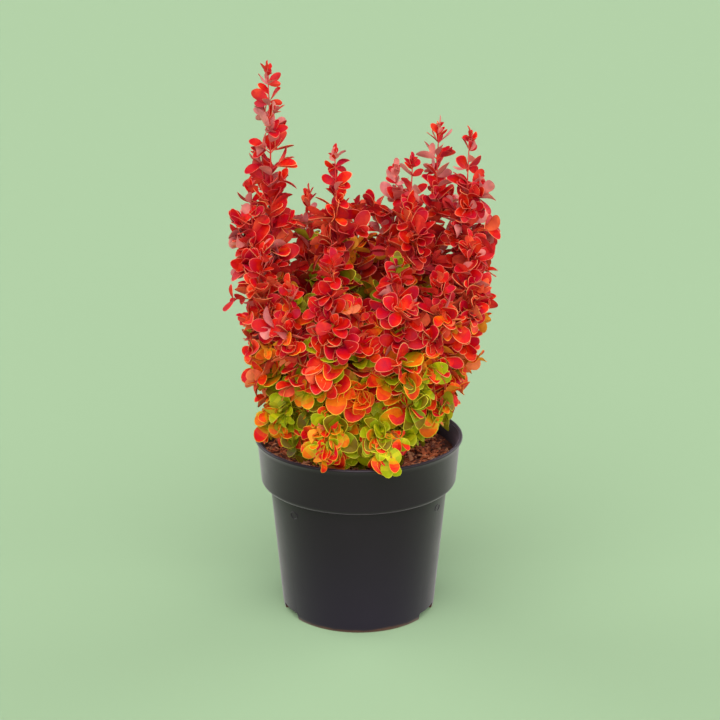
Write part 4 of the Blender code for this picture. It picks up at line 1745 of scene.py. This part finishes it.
@dataclass
class Finishes:
    """Makes the materials and the effects that they share."""

    made: dict[str, Material] = field(default_factory=dict)

    def __post_init__(self) -> None:
        """Make the shared effects."""
        self.mottled = self.make_mottled()

    def make_mottled(self) -> NodeTree:
        """Effect that varies a colour's value and hue over a surface."""
        group, bench = new_group(
            "mottled", (("Colour", "NodeSocketColor"), ("Amount", "NodeSocketFloat"),
                        ("Scale", "NodeSocketFloat")), (("Colour", "NodeSocketColor"),))
        given = bench.node("NodeGroupInput").outputs
        broad = bench.noise(given["Scale"], 3.0, 0.55)
        low = bench.sum("SUBTRACT", 1.0, given["Amount"])
        high = bench.sum("ADD", 1.0, given["Amount"])
        colour = bench.node("ShaderNodeHueSaturation", {
            "Color": given["Colour"], "Hue": bench.fit(broad, (0.3, 0.7), (0.492, 0.508)),
            "Value": bench.fit(broad, (0.34, 0.66), (low, high))})
        bench.node("NodeGroupOutput", {"Colour": colour.outputs["Color"]})
        return group

    def start(self, name: str, inputs: Inputs) -> tuple[Bench, Node]:
        """Start a material.

        Args:
            name: Its name.
            inputs: Plain values of its shader.

        Returns:
            A bench for its nodes and its shader.
        """
        material = bpy.data.materials.new(name)
        material.use_nodes = True
        self.made[name] = material
        bench, shader = Bench(material.node_tree), material.node_tree.nodes["Principled BSDF"]
        bench.feed(shader, inputs)
        return bench, shader

    def mottle(self, bench: Bench, shader: Node, colour: object, amount: float,
               scale: float) -> None:
        """Colour a shader by the mottling effect."""
        inputs = {"Colour": colour, "Amount": amount, "Scale": scale}
        effect = bench.node("ShaderNodeGroup", inputs, node_tree=self.mottled)
        bench.feed(shader, {"Base Color": effect.outputs["Colour"]})

    def leaf(self, tone: Tone) -> Material:
        """Satin leaf surface in one tone."""
        if tone.name not in self.made:
            bench, shader = self.start(tone.name, {"Roughness": tone.roughness,
                                                   "Specular IOR Level": 0.15})
            self.mottle(bench, shader, linear(*tone.colour), tone.mottle, 70.0)
            bench.relief(shader, bench.noise(900.0, 2.0), 0.18, 0.0003)
        return self.made[tone.name]

    def shoot(self) -> Material:
        """Thin young stems: brown at the foot, straw and amber above, red in the spires."""
        bench, shader = self.start("young_shoot", {"Roughness": 0.5})
        ramp = bench.ramp(bench.fit(bench.height(), (0.15, 0.42)), (
            (0.0, (92, 62, 34)), (0.20, (168, 122, 40)), (0.45, (178, 78, 36)),
            (0.75, (196, 36, 30)), (1.0, (214, 48, 44))))
        self.mottle(bench, shader, ramp, 0.18, 160.0)
        return self.made["young_shoot"]

    def bark(self) -> Material:
        """Grey-brown bark with darker furrows."""
        bench, shader = self.start("ridged_bark", {"Roughness": 0.85})
        stretch = bench.node("ShaderNodeMapping", {"Vector": bench.place(),
                                                   "Scale": (520.0, 520.0, 90.0)})
        grain = bench.noise(1.0, 5.0, 0.62, stretch.outputs["Vector"])
        bench.feed(shader, {"Base Color": bench.ramp(grain, (
            (0.30, (50, 33, 24)), (0.52, (104, 74, 52)), (0.74, (146, 112, 82))))})
        bench.relief(shader, grain, 0.7, 0.0008)
        return self.made["ridged_bark"]

    def mulch(self, name: str, dark: Shade, light: Shade) -> Material:
        """Shredded bark with a fibrous grain.

        Args:
            name: Name of the material.
            dark: Display colour of its furrows.
            light: Display colour of its ridges.

        Returns:
            The material.
        """
        bench, shader = self.start(name, {"Roughness": 0.8})
        grain = bench.noise(420.0, 6.0, 0.68)
        bench.feed(shader, {"Base Color": bench.ramp(grain, ((0.32, dark), (0.68, light)))})
        bench.relief(shader, grain, 0.8, 0.0008)
        return self.made[name]

    def plastic(self) -> Material:
        """Charcoal moulded plastic, bluish below, with a magenta cast painted against the floor's
        green reflection and a light brown line along its foot.
        """
        bench, shader = self.start("charcoal_plastic", {
            "Specular IOR Level": 0.36, "Specular Tint": (1.0, 0.88, 1.0, 1.0),
            "Sheen Weight": 0.38, "Sheen Roughness": 0.35, "Sheen Tint": (1.0, 0.80, 0.97, 1.0)})
        height = bench.height()
        # The ramp's magenta cast is painted colour that cancels the green reflected from the floor;
        # the ramp is lighter and bluer towards the foot.
        tint = bench.ramp(bench.fit(height, (0.0, 0.167)), (
            (0.0, (32, 22, 40)), (0.55, (24, 15, 26)), (1.0, (24, 14, 22))))
        # A light brown line along the lowest edge of the foot, made ragged by the noise.
        scuff = bench.noise(38.0, 6.0, 0.6)
        edge = bench.sum("SUBTRACT", height, bench.sum("MULTIPLY", scuff, 0.006))
        foot_line = bench.fit(edge, (-0.0015, 0.0006), (0.55, 0.0))
        colour = bench.node("ShaderNodeMix", {"Factor": foot_line, "A": tint, "B": linear(120, 78, 56)},
                            data_type="RGBA")
        bench.feed(shader, {"Base Color": colour.outputs["Result"],
                            "Roughness": bench.fit(scuff, (0.3, 0.7), (0.32, 0.44))})
        bench.relief(shader, bench.noise(1400.0, 2.0), 0.10, 0.0002)
        return self.made["charcoal_plastic"]

    def floor(self) -> Material:
        """Plain pale green floor."""
        self.start("pale_floor", {"Base Color": linear(162, 190, 151), "Roughness": 0.95,
                                  "Specular IOR Level": 0.1})
        return self.made["pale_floor"]


# Sub-assemblies


@dataclass
class NurseryPot:
    """The turned pot: rolled rim, deep collar, tapering body and drain notches."""

    height: float = 0.167
    rim_radius: float = 0.095
    bead: float = 0.0016
    wall: float = 0.002
    floor: float = 0.0035
    gap: float = 0.0003
    collar_top: Pair = (0.0923, 0.1600)
    collar_foot: Pair = (0.0896, 0.1270)
    shoulder: float = 0.005
    step: Pair = (0.0824, 0.1216)
    body_top: Pair = (0.0814, 0.1206)
    body_foot: Pair = (0.0709, 0.0050)
    foot_corner: Pair = (0.0702, 0.0010)
    foot_radius: float = 0.0694
    steps: int = 160
    notch_angles: tuple[float, ...] = (63.5, 116.5, -116.5, -63.5)
    notch_width: float = 0.028
    notch_depth: float = 0.009
    notch_height: float = 0.0062
    notch_bevel: float = 0.0012
    groove: Pair = (0.0012, 0.0010)
    groove_radius: float = 0.0006
    mark_radii: Pair = (0.0042, 0.00045)
    mark_width: float = 0.75
    mark_sunk: float = 0.0001
    marks: tuple[Pair, ...] = ((-46.0, 0.1090), (62.0, 0.1090))

    def slope(self) -> float:
        """How fast the body widens with height."""
        return (self.body_top[0] - self.body_foot[0]) / (self.body_top[1] - self.body_foot[1])

    def inner_wall(self, steps: int) -> list[Pair]:
        """Outline of the inner wall, from the floor up to the rim.

        Args:
            steps: Steps of the shoulder's arc.

        Returns:
            Radius and height of each point.
        """
        edge = self.body_foot[0] - self.wall
        ledge = (self.collar_foot[0] - self.shoulder, self.collar_foot[1])
        points = [(edge - self.wall / 2.0, self.floor), (edge, self.floor + self.wall / 2.0)]
        points.append((self.body_top[0] - self.wall - self.slope() * self.gap,
                       self.body_top[1]))
        points.append((self.step[0] - self.wall / 2.0, self.step[1] + self.wall))
        points.extend(arc(ledge, self.shoulder - self.wall, -90.0, 0.0, steps))
        points.append((self.collar_top[0] - self.wall, self.collar_top[1] - self.wall / 2.0))
        return points

    def outer_wall(self) -> list[Pair]:
        """Outline of the rim and the outer wall, from the rim's inner side down."""
        bead = (self.rim_radius - self.bead, self.height - self.bead)
        ledge = (self.collar_foot[0] - self.shoulder, self.collar_foot[1])
        points = arc(bead, self.bead, 225.0, -45.0, 18)
        points.append(self.collar_top)
        points.extend(arc(ledge, self.shoulder, 0.0, -78.0, 9))
        groove = (self.step[0] + self.groove[0], self.step[1] + self.groove[1])
        points.extend(arc(groove, self.groove_radius, -20.0, -160.0, 4))
        points.extend([self.body_top, self.body_foot, self.foot_corner, (self.foot_radius, 0.0)])
        return points

    def cut_notch(self, pot: Object, angle: float) -> None:
        """Cut one drain notch through the lower edge.

        Args:
            pot: The turned pot.
            angle: Angle from the front in degrees.
        """
        clear_selection()
        bpy.ops.mesh.primitive_cube_add(
            size=1.0, location=polar_place(angle - 90.0, self.body_foot[0], 0.0))
        cutter = newest("notch")
        cutter.scale = (2.0 * self.notch_depth, self.notch_width, 2.0 * self.notch_height)
        cutter.rotation_euler = (0.0, 0.0, math.radians(angle - 90.0))
        settle(cutter)
        enter_edit(cutter, "EDGE", "SELECT")
        bpy.ops.mesh.bevel(offset=self.notch_bevel, segments=3)
        leave_edit()
        combine(pot, cutter, "DIFFERENCE")

    def add_mark(self, pot: Object, angle: float, height: float) -> None:
        """Raise one faint oval moulding mark on the body.

        Args:
            pot: The turned pot.
            angle: Angle from the front in degrees.
            height: Height of its middle.
        """
        slope = self.slope()
        radius = self.body_foot[0] + slope * (height - self.body_foot[1]) - self.mark_sunk
        clear_selection()
        bpy.ops.mesh.primitive_torus_add(major_segments=40, minor_segments=10,
                                         major_radius=self.mark_radii[0],
                                         minor_radius=self.mark_radii[1])
        ring = newest("mark")
        ring.scale = (self.mark_width, 1.0, 1.0)
        settle(ring)
        ring.rotation_euler = (0.0, math.radians(90.0) + math.atan(slope),
                               math.radians(angle - 90.0))
        ring.location = polar_place(angle - 90.0, radius, height)
        settle(ring)
        combine(pot, ring, "UNION")

    def build(self, finishes: Finishes) -> None:
        """Turn the pot, cut its notches, raise its marks and dress it."""
        profile = [(0.0, self.floor)] + self.inner_wall(6) + self.outer_wall() + [(0.0, 0.0)]
        pot = draw_profile("nursery_pot", profile)
        turn_profile(pot, self.steps)
        for angle in self.notch_angles:
            self.cut_notch(pot, angle)
        for angle, height in self.marks:
            self.add_mark(pot, angle, height)
        pot.data.materials.append(finishes.plastic())
        smooth(pot, 32.0)
        hand_over(pot, ["pot"])


@dataclass(frozen=True)
class MulchTone:
    """One colour of the shredded bark: its furrows and its ridges."""

    name: str
    dark: Shade
    light: Shade


@dataclass
class MulchBed:
    """The filled pot's top: an uneven bed under loose shards of bark.

    Attributes:
        pot: The pot that it fills.
        top: Height of its middle.
        fall: How much lower it lies at the wall.
        level_radius: Radius of its level middle.
        ring_step: Distance between the rings of its surface.
        relief: Height of its bumps.
        shards: Number of loose shards.
        reach: How far from the axis they lie.
        keep_out: Radius of the root crown, which they leave free.
    """

    pot: NurseryPot
    top: float = 0.150
    fall: float = 0.0015
    level_radius: float = 0.024
    ring_step: float = 0.003
    relief: float = 0.0022
    steps: int = 120
    shards: int = 1500
    reach: float = 0.0862
    keep_out: float = 0.0135
    length: Pair = (0.006, 0.019)
    width: Pair = (0.0014, 0.0036)
    thickness: Pair = (0.0007, 0.0015)
    pile: float = 0.0030
    sunk: float = 0.0006
    pitch: float = 0.20
    roll: float = 0.5
    bow: float = 0.10
    shard_cuts: tuple[float, ...] = (-0.28, 0.0, 0.28)
    taper: float = 0.62
    taper_power: float = 2.2
    ragged: float = 0.22
    torn: float = 0.10
    tones: tuple[MulchTone, ...] = (
        MulchTone("mulch_rust", (164, 70, 38), (236, 130, 80)),
        MulchTone("mulch_brown", (122, 54, 32), (198, 106, 68)),
        MulchTone("mulch_dark", (74, 34, 24), (138, 72, 50)),
        MulchTone("mulch_tan", (186, 102, 66), (246, 174, 128)))

    def profile(self) -> list[Pair]:
        """Outline of the filling, from the middle of its top round to its underside."""
        wall = self.pot.inner_wall(2)
        foot, rim = wall[-2], wall[-1]
        share = (self.top - self.fall - foot[1]) / (rim[1] - foot[1])
        play = 1.5 * self.pot.gap
        edge = foot[0] + (rim[0] - foot[0]) * share - play
        rings = int(edge / self.ring_step)
        points = []
        for ring in range(rings + 1):
            radius = edge * ring / rings
            slope = max(0.0, radius - self.level_radius) / (edge - self.level_radius)
            points.append((radius, self.top - self.fall * slope))
        corners = [foot, wall[3], wall[2], wall[1], wall[0]]
        points += [(radius - play, height + self.pot.gap) for radius, height in corners]
        return points + [(0.0, self.pot.floor + self.pot.gap)]

    def build_bed(self, finishes: Finishes) -> None:
        """Turn the filling and roughen its top."""
        bed = draw_profile("mulch_bed", self.profile())
        turn_profile(bed, self.steps)
        for vertex in bed.data.vertices:
            if vertex.co.z > self.top - self.fall - 0.0005:
                broad = noise.noise(vertex.co * 70.0)
                fine = noise.noise(vertex.co * 260.0)
                vertex.co.z += self.relief * (0.7 * broad + 0.5 * fine) - 0.0008
        bed.data.materials.append(finishes.mulch("mulch_base", (48, 24, 17), (112, 56, 38)))
        smooth(bed, 60.0)
        hand_over(bed, ["soil"])

    def shard(self) -> Blank:
        """Model one ragged shard of unit length along X."""
        clear_selection()
        bpy.ops.mesh.primitive_cube_add(size=1.0)
        item = newest("shard")
        enter_edit(item)
        for place in self.shard_cuts:
            cut_across((place, 0.0, 0.0), (1.0, 0.0, 0.0))
        cut_across((0.0, 0.0, 0.0), (0.0, 1.0, 0.0))
        leave_edit()
        for vertex in item.data.vertices:
            narrow = 1.0 - self.taper * (2.0 * abs(vertex.co.x)) ** self.taper_power
            vertex.co.y *= narrow + self.ragged * noise.noise(vertex.co * 3.7)
            vertex.co.z *= 0.6 + 0.4 * narrow
            vertex.co.x += self.torn * noise.noise(vertex.co * 5.1 + Vector((3.0, 1.0, 2.0)))
        return Blank.taken_from(item)

    def scatter(self, blank: Blank, count: int, seed: int) -> np.ndarray:
        """Lay shards at random over the bed.

        Args:
            blank: The shard.
            count: How many.
            seed: Seed of their places.

        Returns:
            The places of the points of every copy.
        """
        chance = np.random.default_rng(seed)
        copies = []
        while len(copies) < count:
            radius = self.reach * math.sqrt(chance.random())
            around = chance.uniform(0.0, 2.0 * math.pi)
            length = chance.uniform(*self.length) * chance.uniform(0.6, 1.0)
            turn = chance.uniform(0.0, 2.0 * math.pi)
            pitch, roll = chance.normal(0.0, self.pitch), chance.normal(0.0, self.roll)
            size = (length, chance.uniform(*self.width), chance.uniform(*self.thickness))
            height = self.top - self.sunk + self.pile * chance.random() ** 1.6
            bow = chance.normal(0.0, self.bow)
            points = blank.points.copy()
            points[:, 1] += bow * (1.0 - 4.0 * points[:, 0] ** 2) * length / size[1]
            points *= size
            place = Matrix.Rotation(turn, 3, "Z") @ Matrix.Rotation(pitch, 3, "Y")
            place = np.array(place @ Matrix.Rotation(roll, 3, "X"))
            points = points @ place.T
            points += (radius * math.cos(around), radius * math.sin(around), height)
            reach = np.hypot(points[:, 0], points[:, 1])
            if reach.max() < self.reach and reach.min() > self.keep_out:
                copies.append(points)
        return np.array(copies)

    def build(self, finishes: Finishes) -> None:
        """Build the bed and scatter shards of each tone on it."""
        self.build_bed(finishes)
        blank = self.shard()
        for number, tone in enumerate(self.tones):
            copies = self.scatter(blank, self.shards // len(self.tones), 40 + number)
            item = blank.deal(tone.name, copies)
            item.data.materials.append(finishes.mulch(tone.name + "_shards", tone.dark, tone.light))
            smooth(item, 35.0)
            hand_over(item, ["soil"])


@dataclass
class WoodyLimbs:
    """The root crown and its limbs, with the bark's relief.

    Attributes:
        plan: Where the limbs run.
        crown: Height above the soil and radius of points up the root crown.
        lean: How far its top leans along X and Y.
        foot_radius: Radius of a limb at its foot.
        tip_radius: Radius of a limb at its end.
        relief: Depth of the bark's furrows as a share of the radius.
    """

    plan: PlantPlan
    crown: tuple[Pair, ...] = (
        (0.0, 0.0170), (0.003, 0.0142), (0.008, 0.0128), (0.014, 0.0124), (0.018, 0.0106),
        (0.020, 0.0078))
    lean: Pair = (0.0014, -0.0008)
    foot_radius: float = 0.0024
    tip_radius: float = 0.0019
    relief: float = 0.16
    core: float = 0.5
    furrows: float = 2.6
    furrow_run: float = 0.16
    fine_furrows: float = 3.1

    def furrowed(self, blank: Blank, length: float, radius: float, seed: float) -> Blank:
        """A copy of a straight tube with furrows along it.

        Args:
            blank: The smooth tube of unit size.
            length: Length that it will have.
            radius: Radius that it will have.
            seed: Shifts the furrows.

        Returns:
            The furrowed tube.
        """
        points = blank.points.copy()
        for point in points:
            across = math.hypot(point[0], point[1])
            if across < self.core:
                continue
            run = point[2] * length / radius * self.furrow_run + seed
            ring = Vector((point[0] * self.furrows, point[1] * self.furrows, run))
            ridge = 1.0 - abs(noise.noise(ring)) * 2.0
            fine = noise.noise(ring * self.fine_furrows)
            point[:2] *= 1.0 + self.relief * (ridge - 0.6) + self.relief * 0.4 * fine
        return Blank(points, blank.faces, blank.slots)

    def build(self, finishes: Finishes) -> None:
        """Build the crown and the limbs and join them."""
        base = TubeBlank(16, 46).model()
        copies = []
        for number, curve in enumerate(self.plan.limbs):
            route = curve.points(25)
            length = route_length(route)
            tube = self.furrowed(base, length, self.foot_radius, 7.0 * number)
            radii = np.linspace(self.foot_radius, self.tip_radius, len(route))
            copies.append(bend_tube(tube, route, radii))
        limbs = base.deal("woody_limbs", np.array(copies))
        stump = TubeBlank(56, 30).model()
        height = self.crown[-1][0]
        route = [Vector((self.lean[0] * h / height, self.lean[1] * h / height,
                         self.plan.soil_top + self.plan.gap + h)) for h, _ in self.crown]
        tube = self.furrowed(stump, height * 2.0, self.crown[2][1], 3.0)
        radii = [radius for _, radius in self.crown]
        join_to(limbs, stump.deal("root_crown", np.array([bend_tube(tube, route, radii)])))
        close_shell(limbs, 0.000001)
        limbs.data.materials.append(finishes.bark())
        smooth(limbs, 60.0)
        hand_over(limbs, ["trunk"] + ["stem_" + limb.name for limb in LIMBS])


@dataclass
class Foliage:
    """All shoots, twigs and leaves.

    Attributes:
        plan: Where the shoots run.
        pot: The pot that they keep clear of.
        lowest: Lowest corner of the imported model's box.
        highest: Highest corner of that box.
        most: Most leaves in one piece.
    """

    plan: PlantPlan
    pot: NurseryPot
    lowest: Vector
    highest: Vector
    most: int = 2200
    seed: int = 77
    width: Pair = (0.88, 1.12)
    cup: Pair = (0.05, 0.50)
    arch: Pair = (-0.10, 0.30)
    fold: Pair = (0.0, 0.16)
    twist: Pair = (-0.5, 0.5)
    half_width: float = 0.31
    arch_pull: float = 0.3
    narrow_above: Pair = (0.22, 0.42)
    narrowing: Pair = (1.16, 0.82)

    def nodes(self) -> list[str]:
        """Names of the masses that the foliage stands for."""
        return ["foliage_" + shoot.name for shoot in self.plan.shoots]

    def grow(self) -> list[FineGrowth]:
        """Grow every mass, first as its solid and then to its last leaf."""
        room = Room(self.plan, self.pot.inner_wall(2))
        tints = TintRule(room)
        grown = []
        for number, (shoot, curve) in enumerate(zip(self.plan.shoots, self.plan.axes)):
            solid = SolidGrowth(shoot, number, curve.points(self.plan.rule_points), room)
            solid.grow()
            fine = FineGrowth(solid, curve, tints, self.lowest, self.highest)
            fine.grow()
            grown.append(fine)
        carried = 0
        for limb, curve in zip(LIMBS, self.plan.limbs):
            fine = grown[carried]
            fine.add_fill(curve.points(fine.route_points), (0.30, 1.0), fine.limb_fill)
            carried += len(limb.shoots)
        return grown

    def place_leaves(self, blank: Blank, leaves: Sequence[Leaf], seed: int) -> np.ndarray:
        """Shape and place a copy of the flat leaf for each leaf.

        Args:
            blank: The flat leaf.
            leaves: The leaves.
            seed: Seed of their shapes.

        Returns:
            The places of the points of every copy.
        """
        chance = np.random.default_rng(seed)
        count = len(leaves)
        run, across, rise = (blank.points[None, :, k] for k in range(3))
        width, cup, arch, fold, twist = (
            chance.uniform(*span, (count, 1))
            for span in (self.width, self.cup, self.arch, self.fold, self.twist))
        height = np.array([[leaf.base.z] for leaf in leaves])
        width = width * np.interp(height, self.narrow_above, self.narrowing)
        across = across * width
        rise = (rise + cup * across ** 2 / self.half_width + fold * np.abs(across)
                - arch * run ** 2)
        turn = twist * run
        turned = across * np.cos(turn) - rise * np.sin(turn)
        rise = across * np.sin(turn) + rise * np.cos(turn)
        run = run * (1.0 - self.arch_pull * np.abs(arch))
        base = np.array([leaf.base for leaf in leaves])
        heading = np.array([leaf.heading for leaf in leaves])
        face = np.array([leaf.face for leaf in leaves])
        side = np.cross(face, heading)
        length = np.array([leaf.length for leaf in leaves])[:, None, None]
        form = (run[:, :, None] * heading[:, None] + turned[:, :, None] * side[:, None]
                + rise[:, :, None] * face[:, None])
        return base[:, None] + length * form

    def build_leaves(self, leaves: Sequence[Leaf], finishes: Finishes) -> None:
        """Join the leaves of each tint in pieces and dress them."""
        blank = LeafBlank().model()
        for number, tint in enumerate(Tint):
            wanted = [leaf for leaf in leaves if leaf.tint is tint]
            tones = tint.value
            for part in range(0, len(wanted), self.most):
                chunk = wanted[part:part + self.most]
                name = "leaves_%s_%d" % (tint.name.lower(), part // self.most + 1)
                copies = self.place_leaves(blank, chunk, self.seed + 10 * number + part)
                item = blank.deal(name, copies)
                for tone in tones.zones():
                    item.data.materials.append(finishes.leaf(tone))
                smooth(item, 50.0)
                hand_over(item, self.nodes())

    def build_strands(self, name: str, blank: Blank, strands: Sequence[Strand],
                      material: Material) -> None:
        """Join thin stems in one piece and dress it.

        Args:
            name: Name of the piece.
            blank: The straight tube.
            strands: The stems.
            material: Their material.
        """
        copies = [bend_tube(blank, strand.route, strand.radii()) for strand in strands]
        item = blank.deal(name, np.array(copies))
        item.data.materials.append(material)
        smooth(item, 60.0)
        hand_over(item, self.nodes())

    def build(self, finishes: Finishes) -> None:
        """Grow and build everything above the limbs."""
        grown = self.grow()
        leaves = [leaf for fine in grown for leaf in fine.leaves]
        LOG.info("%d leaves, %d stems", len(leaves), sum(len(fine.strands) for fine in grown))
        material = finishes.shoot()
        shoots = [fine.strands[0] for fine in grown]
        twigs = [strand for fine in grown for strand in fine.strands[1:]]
        self.build_strands("shoots", TubeBlank(8, 23).model(), shoots, material)
        self.build_strands("twigs", TubeBlank(5, 3).model(), twigs, material)
        self.build_leaves(leaves, finishes)


# Camera, light and floor


@dataclass(frozen=True)
class SoftLight:
    """One soft distant light.

    Attributes:
        name: Its name.
        side: Bearing of its source from the camera's side in degrees, to the right.
        height: Height of its source above the horizon in degrees.
        strength: Its strength.
        breadth: How broad the source is in degrees.
    """

    name: str
    side: float
    height: float
    strength: float
    breadth: float


@dataclass
class Studio:
    """The camera at the photograph's angle, the floor and soft light.

    Attributes:
        place: Place of the camera.
        tilt: How far it looks down in degrees.
        lens: Focal length in millimetres.
        shift: Sideways shift of its frame.
        sensor: Width of its sensor in millimetres.
        sight: How far it sees.
        floor_size: Width of the floor, whose edge lies beyond what is seen.
        lights: The soft lights.
        surroundings: Strength of the even light from all round.
        backdrop: Colour of the room beyond the floor.
    """

    place: tuple[float, float, float] = (0.0, -1.5, 0.714)
    tilt: float = 17.64
    lens: float = 87.2
    shift: float = 0.0018
    sensor: float = 36.0
    sight: float = 1000.0
    floor_size: float = 600.0
    lights: tuple[SoftLight, ...] = (
        SoftLight("key_front_left", -14.0, 54.0, 2.30, 66.0),
        SoftLight("fill_front_right", 55.0, 22.0, 0.9, 60.0),
        SoftLight("low_front", 4.0, 6.0, 1.5, 50.0),
        SoftLight("edge_left", -118.0, 16.0, 1.3, 50.0),
        SoftLight("edge_right", 120.0, 16.0, 1.3, 50.0))
    surroundings: float = 0.24
    backdrop: Shade = (184, 213, 173)

    def add_camera(self) -> None:
        """Create the camera and make it the scene's."""
        bpy.ops.object.camera_add(location=self.place,
                                  rotation=(math.radians(90.0 - self.tilt), 0.0, 0.0))
        camera = bpy.context.object
        camera.name = "camera"
        camera.data.lens = self.lens
        camera.data.sensor_width = self.sensor
        camera.data.shift_x = self.shift
        camera.data.clip_end = self.sight
        bpy.context.scene.camera = camera

    def add_light(self, light: SoftLight) -> None:
        """Add one soft light."""
        side, height = math.radians(light.side), math.radians(light.height)
        source = Vector((math.sin(side) * math.cos(height), -math.cos(side) * math.cos(height),
                         math.sin(height)))
        bpy.ops.object.light_add(type="SUN", location=source * 3.0,
                                 rotation=source.to_track_quat("Z", "Y").to_euler())
        made = bpy.context.object
        made.name = light.name
        made.data.energy = light.strength
        made.data.angle = math.radians(light.breadth)

    def add_lights(self) -> None:
        """Add the soft lights and the pale surroundings."""
        for light in self.lights:
            self.add_light(light)
        world = bpy.data.worlds.new("pale_room")
        world.use_nodes = True
        nodes, bench = world.node_tree.nodes, Bench(world.node_tree)
        sky = nodes["Background"]
        bench.feed(sky, {"Color": (1.0, 1.0, 1.0, 1.0), "Strength": self.surroundings})
        backdrop = bench.node("ShaderNodeBackground", {"Color": linear(*self.backdrop)})
        seen = bench.node("ShaderNodeLightPath").outputs["Is Camera Ray"]
        mix = bench.node("ShaderNodeMixShader", {0: seen, 1: sky.outputs[0],
                                                 2: backdrop.outputs[0]})
        bench.feed(nodes["World Output"], {"Surface": mix.outputs[0]})
        bpy.context.scene.world = world

    def build(self, finishes: Finishes) -> None:
        """Set up the floor, the camera and the light."""
        clear_selection()
        bpy.ops.mesh.primitive_plane_add(size=self.floor_size)
        floor = newest("studio_floor")
        floor.data.materials.append(finishes.floor())
        floor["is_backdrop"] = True
        self.add_camera()
        self.add_lights()
        bpy.context.scene.view_settings.view_transform = "Standard"


def main() -> None:
    """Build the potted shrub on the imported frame."""
    logging.basicConfig(level=logging.INFO, format="%(name)s %(message)s")
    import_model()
    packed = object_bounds()
    finishes = Finishes()
    Studio().build(finishes)
    pot = NurseryPot()
    pot.build(finishes)
    MulchBed(pot).build(finishes)
    plan = PlantPlan()
    plan.lay_out()
    WoodyLimbs(plan).build(finishes)
    Foliage(plan, pot, Vector(packed[0]), Vector(packed[1])).build(finishes)
    clear_selection()


if __name__ == "__main__":
    main()
